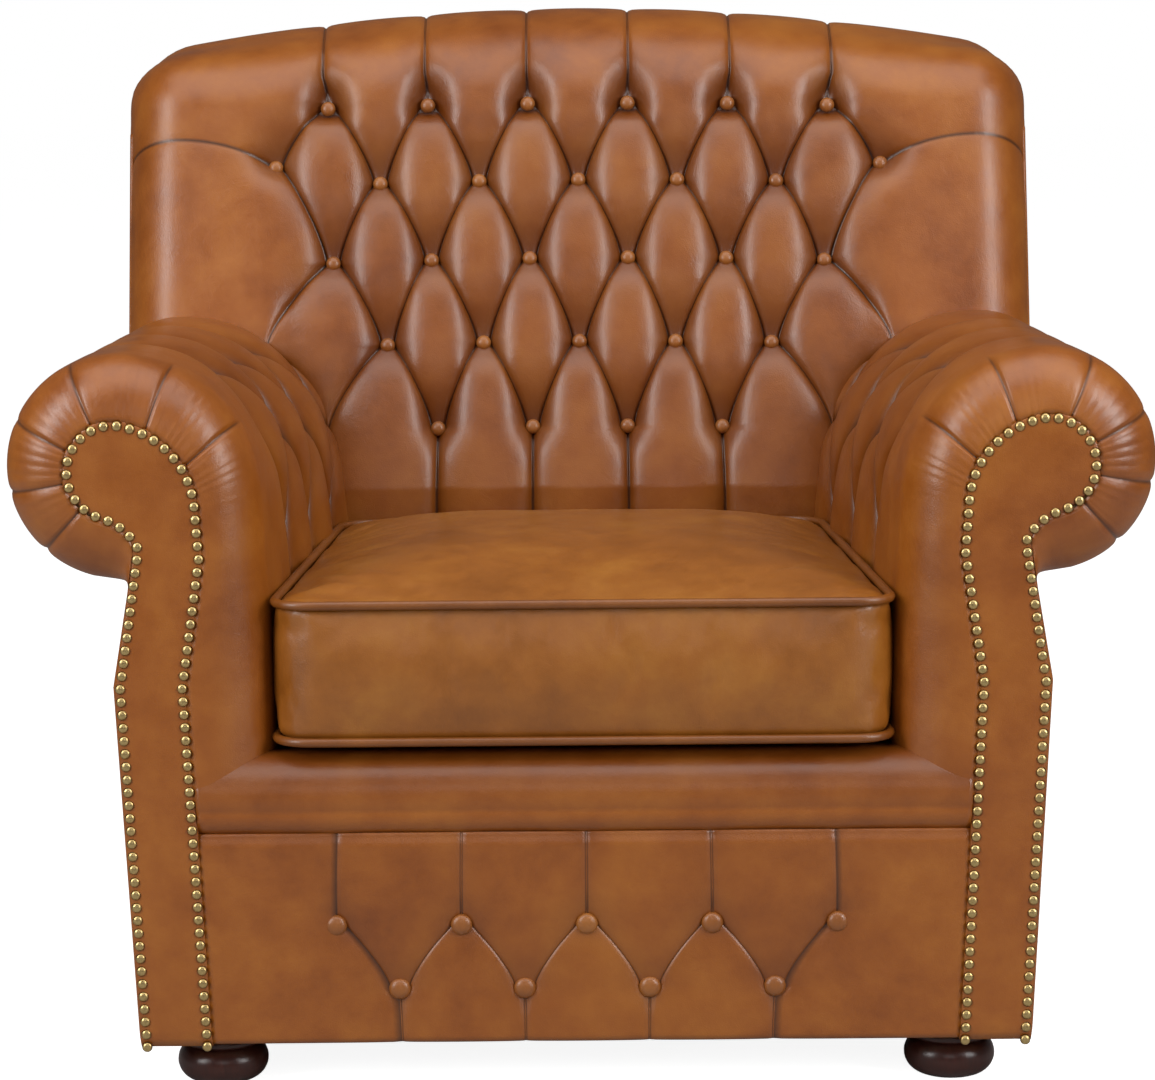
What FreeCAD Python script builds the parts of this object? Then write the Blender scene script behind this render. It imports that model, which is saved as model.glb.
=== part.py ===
import FreeCAD, Part
import math
import os

Vector = FreeCAD.Vector
os.makedirs("parts", exist_ok=True)

# Deep-buttoned armchair. Millimetres, +Z up, floor at z = 0, the chair faces -Y.
# Left and right are as seen from the front. Side pieces are drawn on the right and mirrored.

# Overall sizes
overall_depth = 899.0            # nail heads at the front to the rolled top at the rear
arm_roll_reach = 515.0           # half the width over the arm rolls
back_half_width = 478.0          # half the width of the back
floor_gap = 42.0                 # floor to the underside of the base

# Timber frame
frame_half_width = 398.0         # outer face of the posts and side rails
post_width = 40.0
front_post_depth = 55.0
back_post_depth = 50.0
side_rail_height = 120.0
rail_thickness = 35.0
front_post_height = 420.0
back_post_top = 880.0
rake_start = 300.0               # height at which the back begins to lean
post_rake = 0.18                 # lean of the posts, run over rise
rear_frame_margin = 169.5        # from the rearmost point of the roll to the posts' rear face
tenon_length = 22.0
tenon_thickness = 13.0
tenon_shoulder = 15.0
arm_rail_height = 36.0
arm_rail_width = 56.0
tacking_rail_height = 40.0
stay_rail_height = 45.0
crest_rail_height = 45.0
wing_board_thickness = 22.0
wing_board_bottom = 665.0
corner_block_leg = 72.0
corner_block_height = 60.0
screw_radius = 2.5
screw_length = 70.0
scroll_board_thickness = 22.0

# Leather and cloth
leather_board = 6.0              # facing panels: leather on board
panel_thickness = 6.0            # outside back
border_thickness = 4.0
cloth = 2.0                      # dust cover, hessian and deck cloth
web_thickness = 1.5
web_width = 50.0
seam_gap = 0.3                   # between soft pieces that lie side by side

# Arms: scroll facing, rolled top and padded inside
scroll_x = 412.0                 # centre of the scroll, from the middle of the chair
scroll_z = 567.0
scroll_radius = 47.0
roll_radius_front = 103.0
roll_radius_rear = 93.0
roll_sweep_end = 75.0            # degrees past the roll's outermost point, underneath
facing_foot_inner = 337.5        # inner edge of the facing at its foot
facing_foot_outer = 401.6
facing_knee_inner = 352.0        # inner edge at the knee, where the leg is narrowest
facing_knee_outer = 416.9
facing_knee_z = 373.0
facing_neck_inner = 334.5
facing_neck_inner_z = 489.0
facing_neck_outer = 397.5
facing_neck_outer_z = 499.0
brow_lean = 2.8                  # start of the scroll's inner curve, from the neck
brow_drop = 33.0
shoulder_reach = 48.5            # a point on the scroll's inner curve, from its centre
shoulder_rise = 24.5
neck_z = 464.0                   # outside arm leather ends here, under the roll
arm_inner_front = 285.0          # inside face of the arm beside the seat, at the front
arm_inner_rear = 237.0
arm_bottom = 268.0
shoulder_front_z = 545.0
shoulder_rear_z = 505.0
rim_depth = 51.0                 # front edge of the arm rolls over this far
rim_share = 0.93                 # share of the padding that the rim draws in
arm_button_first = 160.0         # first upper button behind the facing
arm_button_pitch = 118.0
arm_button_count = 4
arm_upper_button_z = 598.0
arm_lower_button_z = 512.0
arm_button_depth = 20.0
arm_pleat_depth = 6.0
outside_foot_reach = 403.5       # outside arm leather at its foot, knee and neck
outside_knee_reach = 421.0
outside_neck_reach = 403.0

# Back: buttoned face, rolled top
back_rake = 0.26                 # lean of the cushioned face, run over rise
back_depth_to_face = 360.5       # from the rearmost point of the roll to the face at lean_start
lean_start = 480.0               # height at which the cushioned face begins to lean
back_cover_depth = 52.0          # leather with its buttoned stuffing
back_roll_core = 79.0            # radius of the roll under the stuffed leather
back_side_radius = 46.0
back_corner_drop = 48.0          # the top falls this much towards its corners
back_button_rows = (541.0, 628.0, 714.0, 796.0, 875.0)
back_button_pitch = 52.0         # sideways step between neighbouring rows
back_button_depth = 24.0
back_fold_depth = 15.0
roll_pleat_depth = 4.0
roll_tuck = 14.0                 # degrees that the roll turns in under itself at the rear
pleat_spread = 0.07              # the pleats over the top fan out by this share
pleat_width = 6.0
back_row_reach = (3, 4, 5, 6, 5)  # outermost button column in each row
outer_button_rise = 18.0         # the outermost buttons of the widest row sit higher
back_button_radius = 8.0
back_button_height = 5.0

# Seat base: lip, border and deck
lip_bottom = 238.0
lip_top = 308.0
lip_depth = 60.0
border_upper_row = 153.0
border_lower_row = 94.0
border_button_pitch = 56.5       # sideways step between the two rows
border_end_column = 4
border_button_depth = 8.0
border_cover_depth = 12.0
border_face_setback = 4.5        # border leather behind the nail heads
border_button_radius = 10.0
border_button_height = 5.5
deck_top = 308.0
deck_side_gap = 1.5
spring_wire_radius = 1.8
clip_base = 2.0                  # steel under the wire
clip_width = 16.0
clip_length = 18.0
spring_bend_radius = 11.0
spring_half_width = 24.0
spring_count = 5
spring_pitch = 120.0

# Loose seat cushion
cushion_side_clearance = 2.0     # piping to the inside of the arms
cushion_front_setback = 9.5      # cushion front behind the nail heads
cushion_rear_clearance = 8.0
cushion_bottom = 310.5
cushion_lower_seam = 321.0
cushion_upper_seam = 445.0
cushion_crown = 26.0
cushion_waist = 6.0
cushion_corner_radius = 34.0
cushion_leather = 2.5
piping_radius = 4.0
zip_length = 330.0
zip_width = 9.0
zip_thickness = 2.0

# Nails and feet
nail_pitch = 11.8
nail_head_radius = 4.7
nail_head_height = 3.2
nail_shank_radius = 1.0
nail_shank_length = 12.0
nail_edge_margin = 4.9           # nail line inside the facing's edge
foot_radius = 41.5
foot_top_radius = 33.0
foot_base_radius = 29.0
foot_x = 334.0
front_foot_setback = 59.5        # foot centre behind the nail heads
rear_foot_inset = 42.0           # foot centre in front of the posts' rear face
bolt_radius = 4.0
bolt_depth_in_foot = 28.0
bolt_depth_in_rail = 40.0

# Places that follow from the sizes above
front_y = -overall_depth / 2
rear_y = overall_depth / 2
facing_y = front_y + nail_head_height
scroll_board_y = facing_y + leather_board
frame_front_y = scroll_board_y + scroll_board_thickness
post_rear_y = rear_y - rear_frame_margin
post_front_y = post_rear_y - back_post_depth
post_inner = frame_half_width - post_width
frame_bottom = floor_gap + cloth
rail_top = lip_bottom - clip_base - 2 * spring_wire_radius - cloth
back_face_y = rear_y - back_depth_to_face
arm_rear_y = post_rear_y + (scroll_z + roll_radius_rear - rake_start) * post_rake + 2
spring_z = rail_top + clip_base + spring_wire_radius
hessian_z = spring_z + spring_wire_radius
cushion_rear_y = back_face_y - cushion_rear_clearance


flat_normal = Vector(0, -1, 0)   # out of the front of the chair


def save(name, shape):
    shape.exportStep("parts/" + name + ".step")
    print(name, "solids", len(shape.Solids), "volume", round(shape.Volume), "valid", shape.isValid())


def save_group(name, shapes):
    save(name, Part.makeCompound(shapes))


def mirror(shape):
    return shape.mirror(Vector(0, 0, 0), Vector(1, 0, 0))


def save_sides(name, right_shape):
    save("right_" + name, right_shape)
    save("left_" + name, mirror(right_shape))


def block(x0, x1, y0, y1, z0, z1):
    return Part.makeBox(x1 - x0, y1 - y0, z1 - z0, Vector(x0, y0, z0))


def line(a, b):
    return Part.LineSegment(a, b).toShape()


def arc(a, middle, b):
    return Part.Arc(a, middle, b).toShape()


def between(a, b, share):
    return a + (b - a) * share


def prism_along_x(points_yz, x0, x1):
    corners = [Vector(x0, y, z) for y, z in points_yz]
    face = Part.Face(Part.makePolygon(corners + [corners[0]]))
    return face.extrude(Vector(x1 - x0, 0, 0))


def prism_along_y(wire_at_zero, y0, y1):
    face = Part.Face(wire_at_zero)
    face.translate(Vector(0, y0, 0))
    return face.extrude(Vector(0, y1 - y0, 0))


def dome(centre, normal, radius, height):
    """Low dome, flat behind: a nail head or a covered button."""
    sphere_radius = (radius * radius + height * height) / (2 * height)
    low_angle = math.degrees(math.asin((sphere_radius - height) / sphere_radius))
    cap = Part.makeSphere(sphere_radius, Vector(0, 0, 0), Vector(0, 0, 1), low_angle, 90, 360)
    cap.translate(Vector(0, 0, height - sphere_radius))
    turn = FreeCAD.Rotation(Vector(0, 0, 1), normal)
    cap.Placement = FreeCAD.Placement(centre, turn).multiply(cap.Placement)
    return cap


def largest(shape):
    """The piece itself, without the crumbs that a cut along a round seam leaves."""
    return max(shape.Solids, key=lambda solid: solid.Volume)


def post_line(z):
    """Front face of the back posts at height z."""
    return post_front_y + max(0.0, z - rake_start) * post_rake


def raked_prism(z0, z1, offset0, offset1, x0, x1):
    """A board that follows the rake of the back posts."""
    heights = [z0] + [rake_start] * (z0 < rake_start < z1) + [z1]
    front = [(post_line(z) + offset0, z) for z in heights]
    rear = [(post_line(z) + offset1, z) for z in reversed(heights)]
    return prism_along_x(front + rear, x0, x1)


# Arm scroll: the outline that the facing panel, the scroll board and the arm's core share
def scroll_points(margin):
    """Key points of the facing outline, drawn in by margin."""
    radius = scroll_radius - margin
    sweep = math.radians(roll_sweep_end)
    top = Vector(scroll_x, 0, scroll_z + radius)
    under = Vector(scroll_x + radius * math.cos(sweep), 0, scroll_z - radius * math.sin(sweep))
    neck_inner = Vector(facing_neck_inner + margin, 0, facing_neck_inner_z)
    neck_outer = Vector(facing_neck_outer - margin, 0, facing_neck_outer_z)
    brow = Vector(facing_neck_inner + brow_lean + margin, 0, scroll_z - brow_drop)
    shoulder = Vector(scroll_x - shoulder_reach + margin * 0.8, 0, scroll_z + shoulder_rise - margin * 0.6)
    return {
        "foot_inner": Vector(facing_foot_inner + margin, 0, frame_bottom + margin),
        "knee_inner": Vector(facing_knee_inner + margin, 0, facing_knee_z),
        "neck_inner": neck_inner,
        "brow": brow,
        "shoulder": shoulder,
        "top": top,
        "side": Vector(scroll_x + radius, 0, scroll_z),
        "under": under,
        "hollow": between(under, neck_outer, 0.55) + Vector(-3, 0, 3),
        "neck_outer": neck_outer,
        "knee_outer": Vector(facing_knee_outer - margin, 0, facing_knee_z),
        "foot_outer": Vector(facing_foot_outer - margin, 0, frame_bottom + margin),
    }


def scroll_edges(p):
    """The facing outline from its inner foot, over the scroll, to its outer foot."""
    return [
        line(p["foot_inner"], p["knee_inner"]),
        line(p["knee_inner"], p["neck_inner"]),
        line(p["neck_inner"], p["brow"]),
        arc(p["brow"], p["shoulder"], p["top"]),
        arc(p["top"], p["side"], p["under"]),
        arc(p["under"], p["hollow"], p["neck_outer"]),
        line(p["neck_outer"], p["knee_outer"]),
        line(p["knee_outer"], p["foot_outer"]),
    ]


outline = scroll_points(0.0)
facing_wire = Part.Wire(scroll_edges(outline) + [line(outline["foot_outer"], outline["foot_inner"])])

# Core of the arm: the same scroll, cut off at the arm's bottom and at the frame's outer face
core_inner_foot = Vector(
    facing_foot_inner
    + (facing_knee_inner - facing_foot_inner) * (arm_bottom - frame_bottom) / (facing_knee_z - frame_bottom),
    0,
    arm_bottom,
)
core_neck = Vector(frame_half_width, 0, neck_z)
core_outer_foot = Vector(frame_half_width, 0, arm_bottom)
core_upper_neck = Vector(facing_neck_outer, 0, facing_neck_outer_z)
core_path = [
    line(core_inner_foot, outline["knee_inner"]),
    line(outline["knee_inner"], outline["neck_inner"]),
    line(outline["neck_inner"], outline["brow"]),
    arc(outline["brow"], outline["shoulder"], outline["top"]),
    arc(outline["top"], outline["side"], outline["under"]),
    arc(outline["under"], outline["hollow"], core_upper_neck),
    line(core_upper_neck, core_neck),
]
core_wire = Part.Wire(
    core_path + [line(core_neck, core_outer_foot), line(core_outer_foot, core_inner_foot)]
)


def arm_inner(y):
    """Inside face of the arm beside the seat, from the middle of the chair."""
    along = min(max((y - facing_y) / (back_face_y - facing_y), 0.0), 1.0)
    return between(arm_inner_front, arm_inner_rear, along)


def arm_station(y, fold_z, fold_depth, top_depth, foot_depth, rim):
    """Points of the arm's outer surface at one place along its length."""
    along = (y - facing_y) / (back_face_y - facing_y)
    along = min(max(along, 0.0), 1.0)
    inner = arm_inner(y)
    radius = between(roll_radius_front, roll_radius_rear, along)
    shoulder_z = between(shoulder_front_z, shoulder_rear_z, along)
    sweep = math.radians(roll_sweep_end)
    top = Vector(scroll_x, 0, scroll_z + radius)
    shoulder = Vector(inner + 6, 0, shoulder_z)
    arm_mid = between(shoulder, top, 0.5) + Vector(-0.66, 0, 0.75) * (0.2 * (top - shoulder).Length)
    curve = Part.Arc(shoulder, arm_mid, top)
    share = (fold_z - shoulder_z) / (top.z - shoulder_z)
    if share <= 0:
        fold = Vector(between(inner, inner + 6, max(0.0, 1 + share)), 0, fold_z)
        upper_mid = curve.value(between(curve.FirstParameter, curve.LastParameter, 0.5))
    else:
        position = curve.FirstParameter + (curve.LastParameter - curve.FirstParameter) * share * 0.72
        fold = curve.value(position)
        upper_mid = curve.value((position + curve.LastParameter) / 2)
    inward = Vector(scroll_x, 0, scroll_z - 10) - fold
    inward.z = inward.z * 0.5
    fold = fold + inward.normalize() * fold_depth
    foot = Vector(inner + foot_depth, 0, arm_bottom)
    lower_mid = Vector(between(inner, fold.x - fold_depth, 0.3) - 1, 0, (arm_bottom + fold.z) / 2)
    points = {
        "foot": foot,
        "lower_mid": lower_mid,
        "fold": fold,
        "upper_mid": upper_mid,
        "top": top + Vector(0, 0, -top_depth),
        "side": Vector(scroll_x + radius, 0, scroll_z),
        "under": Vector(scroll_x + radius * math.cos(sweep), 0, scroll_z - radius * math.sin(sweep)),
        "hollow": Vector(scroll_x + 6, 0, neck_z + 1.5),
        "neck": Vector(outside_neck_reach, 0, neck_z),
    }
    rim_target = {
        "foot": core_inner_foot,
        "lower_mid": outline["neck_inner"] + Vector(3, 0, -100),
        "fold": outline["brow"] + Vector(-1, 0, 0),
        "upper_mid": outline["shoulder"] + Vector(-2, 0, 2),
        "top": outline["top"],
        "side": outline["side"],
        "under": outline["under"],
        "hollow": between(outline["under"], core_upper_neck, 0.5) + Vector(2, 0, -4),
        "neck": core_upper_neck + Vector(3, 0, -20),
    }
    placed = {}
    for key in points:
        place = between(points[key], rim_target[key], rim)
        placed[key] = Vector(place.x, y, place.z)
    return placed


def arm_band_wire(p):
    """The padded leather round the core: outer surface, then back along the core."""
    def at(point):
        return Vector(point.x, p["foot"].y, point.z)
    edges = [
        arc(p["foot"], p["lower_mid"], p["fold"]),
        arc(p["fold"], p["upper_mid"], p["top"]),
        arc(p["top"], p["side"], p["under"]),
        arc(p["under"], p["hollow"], p["neck"]),
        line(p["neck"], at(core_neck)),
        line(at(core_neck), at(core_upper_neck)),
        arc(at(core_upper_neck), at(outline["hollow"]), at(outline["under"])),
        arc(at(outline["under"]), at(outline["side"]), at(outline["top"])),
        arc(at(outline["top"]), at(outline["shoulder"]), at(outline["brow"])),
        line(at(outline["brow"]), at(outline["neck_inner"])),
        line(at(outline["neck_inner"]), at(outline["knee_inner"])),
        line(at(outline["knee_inner"]), at(core_inner_foot)),
        line(at(core_inner_foot), p["foot"]),
    ]
    return Part.Wire(edges)


def arm_envelope_wire(p):
    """The whole arm in section, out to its outer surface, for clearing its neighbours."""
    foot_outer = Vector(outside_neck_reach, p["foot"].y, arm_bottom)
    edges = [
        arc(p["foot"], p["lower_mid"], p["fold"]),
        arc(p["fold"], p["upper_mid"], p["top"]),
        arc(p["top"], p["side"], p["under"]),
        arc(p["under"], p["hollow"], p["neck"]),
        line(p["neck"], foot_outer),
        line(foot_outer, p["foot"]),
    ]
    return Part.Wire(edges)


middle_fold_z = (arm_upper_button_z + arm_lower_button_z) / 2
arm_rows_y = [facing_y + arm_button_first + k * arm_button_pitch for k in range(arm_button_count)]
arm_stations = []
for angle in (90, 70, 45, 20, 0):
    rim_angle = math.radians(angle)
    rim_y = facing_y + rim_depth * (1 - math.sin(rim_angle))
    rim = rim_share * (1 - math.cos(rim_angle))
    arm_stations.append(arm_station(rim_y, middle_fold_z, 1.0, 0.0, 0.0, rim))
for row_y in arm_rows_y:
    quarter = arm_button_pitch / 4
    first = row_y - 2 * quarter
    arm_stations.append(arm_station(first, arm_lower_button_z, arm_button_depth, 0.0, arm_pleat_depth, 0.0))
    arm_stations.append(arm_station(first + quarter, middle_fold_z, arm_button_depth / 2, 0.0, 0.0, 0.0))
    arm_stations.append(arm_station(row_y, arm_upper_button_z, arm_button_depth, arm_pleat_depth, 0.0, 0.0))
    arm_stations.append(arm_station(row_y + quarter, middle_fold_z, arm_button_depth / 2, 0.0, 0.0, 0.0))
arm_stations = [p for p in arm_stations if p["foot"].y < back_face_y - 5]
arm_stations.append(arm_station(back_face_y, middle_fold_z, 1.0, 0.0, 0.0, 0.0))
arm_stations.append(arm_station(arm_rear_y, middle_fold_z, 1.0, 0.0, 0.0, 0.0))

# The arm's rear end follows the lean of the outside back
behind_posts = raked_prism(0, overall_depth, back_post_depth, rear_y, -arm_roll_reach - 60, arm_roll_reach + 60)
facing_zone = prism_along_y(facing_wire, facing_y, frame_front_y)
arm_cover = Part.makeLoft([arm_band_wire(p) for p in arm_stations], True, True)
arm_core = prism_along_y(core_wire, frame_front_y, arm_rear_y)

# What the arm takes up behind the face of the back, for cutting the back to fit round it
arm_envelope_section = arm_envelope_wire(arm_stations[-1])
arm_envelope_section.translate(Vector(0, -arm_rear_y, 0))
arm_envelope = prism_along_y(arm_envelope_section, back_face_y, rear_y + 10)
beside_arm = block(
    frame_half_width, arm_roll_reach + 60, back_face_y, rear_y + 10, arm_bottom, scroll_z
)
arm_clearance = [arm_envelope, beside_arm, mirror(arm_envelope), mirror(beside_arm)]

# Timber: seat rails, posts and the rails that carry the upholstery
front_rail = block(-post_inner, post_inner, frame_front_y, frame_front_y + rail_thickness,
                   frame_bottom, rail_top)
rear_rail_y = post_front_y + (back_post_depth - rail_thickness) / 2
rear_rail = block(-post_inner, post_inner, rear_rail_y, rear_rail_y + rail_thickness,
                  frame_bottom, rail_top)
for side in (-1, 1):
    x0, x1 = sorted((side * post_inner, side * (post_inner + tenon_length)))
    tenon_low = frame_bottom + tenon_shoulder
    tenon_high = rail_top - tenon_shoulder
    front_tenon_y = frame_front_y + (rail_thickness - tenon_thickness) / 2
    rear_tenon_y = rear_rail_y + (rail_thickness - tenon_thickness) / 2
    front_rail = front_rail.fuse(
        block(x0, x1, front_tenon_y, front_tenon_y + tenon_thickness, tenon_low, tenon_high))
    rear_rail = rear_rail.fuse(
        block(x0, x1, rear_tenon_y, rear_tenon_y + tenon_thickness, tenon_low, tenon_high))
front_rail = front_rail.removeSplitter()
rear_rail = rear_rail.removeSplitter()

side_rail_front = frame_front_y + front_post_depth
side_rail = block(post_inner, frame_half_width, side_rail_front, post_front_y,
                  frame_bottom, frame_bottom + side_rail_height)
side_tenon_x = (post_inner + frame_half_width - tenon_thickness) / 2 + tenon_thickness
side_tenon = block(side_tenon_x - tenon_thickness / 2, side_tenon_x + tenon_thickness / 2,
                   side_rail_front - tenon_length / 2, post_front_y + tenon_length / 2,
                   frame_bottom + tenon_shoulder, frame_bottom + side_rail_height - tenon_shoulder)
side_rail = side_rail.fuse(side_tenon).removeSplitter()

arm_rail_z = scroll_z - arm_rail_height / 2
arm_rail = block(frame_half_width - arm_rail_width / 2, frame_half_width + arm_rail_width / 2,
                 frame_front_y, arm_rear_y, arm_rail_z, arm_rail_z + arm_rail_height)
arm_rail = arm_rail.cut(behind_posts)
arm_tacking_rail = block(post_inner, frame_half_width, side_rail_front, post_front_y,
                         arm_bottom, arm_bottom + tacking_rail_height)

front_post = block(post_inner, frame_half_width, frame_front_y, side_rail_front,
                   frame_bottom, frame_bottom + front_post_height)
back_post = raked_prism(frame_bottom, back_post_top, 0, back_post_depth, post_inner, frame_half_width)

stay_rail = raked_prism(rake_start - stay_rail_height, rake_start, 0, rail_thickness,
                        -post_inner, post_inner)
crest_rail = raked_prism(back_post_top - crest_rail_height, back_post_top, 0, rail_thickness,
                         -post_inner, post_inner)
for side in (-1, 1):
    x0, x1 = sorted((side * post_inner, side * (post_inner + tenon_length)))
    crest_rail = crest_rail.fuse(raked_prism(
        back_post_top - crest_rail_height, back_post_top - tenon_shoulder / 2, tenon_thickness / 2,
        tenon_thickness * 1.5, x0, x1))
    stay_rail = stay_rail.fuse(raked_prism(
        rake_start - stay_rail_height + tenon_shoulder / 2, rake_start - tenon_shoulder / 2,
        tenon_thickness / 2, tenon_thickness * 1.5, x0, x1))
crest_rail = crest_rail.removeSplitter()
stay_rail = stay_rail.removeSplitter()

wing_board = raked_prism(wing_board_bottom, back_post_top - crest_rail_height, 0, wing_board_thickness,
                         frame_half_width, back_half_width - border_thickness - seam_gap)

# Webbing of the back, laid crosswise on the front of the posts
straps = []
for k in range(4):
    strap_z = rake_start + 60 + k * 115
    straps.append(raked_prism(strap_z, strap_z + web_width, -web_thickness, 0,
                              -frame_half_width + 8, frame_half_width - 8))
for k in range(-2, 3):
    strap_x = k * 130
    straps.append(raked_prism(rake_start - stay_rail_height + 5, back_post_top - crest_rail_height,
                              -2 * web_thickness, -web_thickness,
                              strap_x - web_width / 2, strap_x + web_width / 2))
save_group("back_webbing", straps)

# Corner blocks and their screws, under the deck
screw_direction = Vector(1, 1, 0).normalize()


def corner_block(inner_y, towards_middle):
    corner = Vector(post_inner, inner_y, frame_bottom)
    along_side = corner + Vector(0, corner_block_leg * towards_middle, 0)
    along_rail = corner + Vector(-corner_block_leg, 0, 0)
    face = Part.Face(Part.makePolygon([corner, along_side, along_rail, corner]))
    return face.extrude(Vector(0, 0, corner_block_height))


def corner_screw(inner_y, towards_middle):
    direction = Vector(screw_direction.x, -screw_direction.y * towards_middle, 0)
    corner = Vector(post_inner, inner_y, frame_bottom + corner_block_height / 2)
    head = corner - direction * (corner_block_leg * math.sqrt(0.5))
    shank = Part.makeCylinder(screw_radius, screw_length, head, direction)
    return shank.fuse(Part.makeCone(screw_radius * 2, screw_radius, screw_radius * 1.6, head, direction))


front_inner_y = frame_front_y + rail_thickness
right_blocks = [corner_block(front_inner_y, 1), corner_block(rear_rail_y, -1)]
right_screws = [corner_screw(front_inner_y, 1), corner_screw(rear_rail_y, -1)]
corner_blocks = right_blocks + [mirror(b) for b in right_blocks]
screws = right_screws + [mirror(s) for s in right_screws]

# Feet and the bolts that hold them
front_foot_y = front_y + front_foot_setback
rear_foot_y = post_rear_y - rear_foot_inset
foot_places = [(x, y) for y in (front_foot_y, rear_foot_y) for x in (-foot_x, foot_x)]


def foot_bolt(x, y):
    return Part.makeCylinder(bolt_radius, bolt_depth_in_foot + cloth + bolt_depth_in_rail,
                             Vector(x, y, floor_gap - bolt_depth_in_foot))


def bun_foot(x, y):
    """A turned bun: small base, round belly, ring under the rail."""
    ring_z = floor_gap * 0.78
    belly_z = floor_gap * 0.42
    edges = [
        line(Vector(0, 0, 0), Vector(foot_base_radius, 0, 0)),
        arc(Vector(foot_base_radius, 0, 0), Vector(foot_radius, 0, belly_z), Vector(foot_top_radius, 0, ring_z)),
        arc(Vector(foot_top_radius, 0, ring_z), Vector(foot_top_radius + 4, 0, (ring_z + floor_gap) / 2),
            Vector(foot_top_radius, 0, floor_gap)),
        line(Vector(foot_top_radius, 0, floor_gap), Vector(0, 0, floor_gap)),
        line(Vector(0, 0, floor_gap), Vector(0, 0, 0)),
    ]
    foot = Part.Face(Part.Wire(edges)).revolve(Vector(0, 0, 0), Vector(0, 0, 1), 360)
    foot.translate(Vector(x, y, 0))
    return foot.cut(foot_bolt(x, y))


bolts = [foot_bolt(x, y) for x, y in foot_places]
save_group("bun_feet", [bun_foot(x, y) for x, y in foot_places])
save_group("foot_bolts", bolts)
save_group("corner_blocks", [b.cut(screws + bolts) for b in corner_blocks])
save_group("block_screws", screws)

right_joints = [side_rail, front_rail, rear_rail, stay_rail, crest_rail] + screws
save("front_seat_rail", front_rail.cut(bolts + screws))
save("rear_seat_rail", rear_rail.cut(bolts + screws))
save_sides("side_rail", side_rail.cut(right_screws))
save_sides("front_post", front_post.cut(right_joints))
save_sides("back_post", back_post.cut(right_joints + [arm_rail]))
save_sides("arm_rail", arm_rail)
save_sides("arm_tacking_rail", arm_tacking_rail)
save("back_stay_rail", stay_rail)
save("crest_rail", crest_rail)
save_sides("back_wing_board", wing_board)

# Facing panel, scroll board and the row of domed nails
nail_line = Part.Wire(scroll_edges(scroll_points(nail_edge_margin)))
nail_count = round(nail_line.Length / nail_pitch) + 1
nail_points = nail_line.discretize(nail_count)
nails = []
nail_holes = []
for point in nail_points:
    head_place = Vector(point.x, facing_y, point.z)
    shank = Part.makeCylinder(nail_shank_radius, nail_shank_length, head_place, Vector(0, 1, 0))
    nails.append(dome(head_place, flat_normal, nail_head_radius, nail_head_height).fuse(shank))
    nail_holes.append(shank)
hole_group = Part.makeCompound(nail_holes)
facing_panel = prism_along_y(facing_wire, facing_y, scroll_board_y).cut(hole_group)
scroll_board = prism_along_y(facing_wire, scroll_board_y, frame_front_y).cut(hole_group)
save_sides("facing_panel", facing_panel)
save_sides("scroll_board", scroll_board)
save_sides("facing_nails", Part.makeCompound(nails))

# Arm upholstery and the outside of the arm
behind_seat = straps + [back_post, stay_rail, behind_posts]
arm_pad = arm_core.cut(behind_seat + [arm_rail, arm_tacking_rail, front_post])
arm_cover = arm_cover.cut(behind_seat + [facing_zone])
save_sides("arm_pad", arm_pad)
save_sides("arm_cover", arm_cover)


def outside_arm_wire():
    corners = [
        (frame_half_width, frame_bottom), (outside_foot_reach, frame_bottom),
        (outside_knee_reach, facing_knee_z), (outside_neck_reach, neck_z), (frame_half_width, neck_z),
    ]
    points = [Vector(x, 0, z) for x, z in corners]
    return Part.makePolygon(points + [points[0]])


outside_arm = prism_along_y(outside_arm_wire(), facing_y, arm_rear_y)
outside_arm = outside_arm.cut([facing_zone, behind_posts])
save_sides("outside_arm", outside_arm)


def outside_back_outline():
    """Half of the outside back: as wide as the arms below, as wide as the back above."""
    corners = [
        (0, frame_bottom), (outside_foot_reach, frame_bottom), (outside_knee_reach, facing_knee_z),
        (outside_neck_reach, neck_z), (outside_neck_reach, scroll_z),
        (back_half_width, scroll_z), (back_half_width, under_roll_z), (0, under_roll_z),
    ]
    points = [Vector(x, 0, z) for x, z in corners]
    return Part.makePolygon(points + [points[0]])


def arm_button(y, z):
    """Covered button in the bottom of its tuft, pointing along the padding's depth."""
    p = arm_station(y, z, arm_button_depth, 0.0, 0.0, 0.0)
    inward = Vector(scroll_x, y, scroll_z - 10) - p["fold"]
    inward.z = inward.z * 0.5
    inward.normalize()
    base = p["fold"] - inward * seam_gap
    button = Part.makeSphere(back_button_radius, base, inward * -1, 0, 90, 360)
    return button


arm_buttons = []
for row_y in arm_rows_y:
    arm_buttons.append(arm_button(row_y, arm_upper_button_z))
    arm_buttons.append(arm_button(row_y - arm_button_pitch / 2, arm_lower_button_z))
arm_buttons = [b.cut(arm_cover) for b in arm_buttons]
save_sides("arm_buttons", Part.makeCompound(arm_buttons))

# Back: spine of the padding, then the buttoned leather laid over it
rake_angle = math.atan(back_rake)
face_normal = Vector(0, -math.cos(rake_angle), math.sin(rake_angle))


def face_point(z):
    return Vector(0, back_face_y + (z - lean_start) * back_rake, z)


top_row_z = back_button_rows[-1]
roll_centre = face_point(top_row_z) - face_normal * (back_cover_depth + back_roll_core)
roll_shift = rear_y - back_cover_depth - back_roll_core - roll_centre.y
roll_centre = roll_centre + Vector(0, roll_shift, 0)

# Fold lines: strand k runs from column k to column k + 1, zigzag from row to row
strand_count = 12
first_column = -6


def strands_at_row(row):
    """Two strands meet at each button: odd rows have buttons on even columns."""
    xs = []
    for k in range(strand_count):
        column = first_column + k
        if (column % 2 == 0) != (row % 2 == 1):
            column = column + 1
        xs.append(column * back_button_pitch)
    return sorted(xs)


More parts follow.
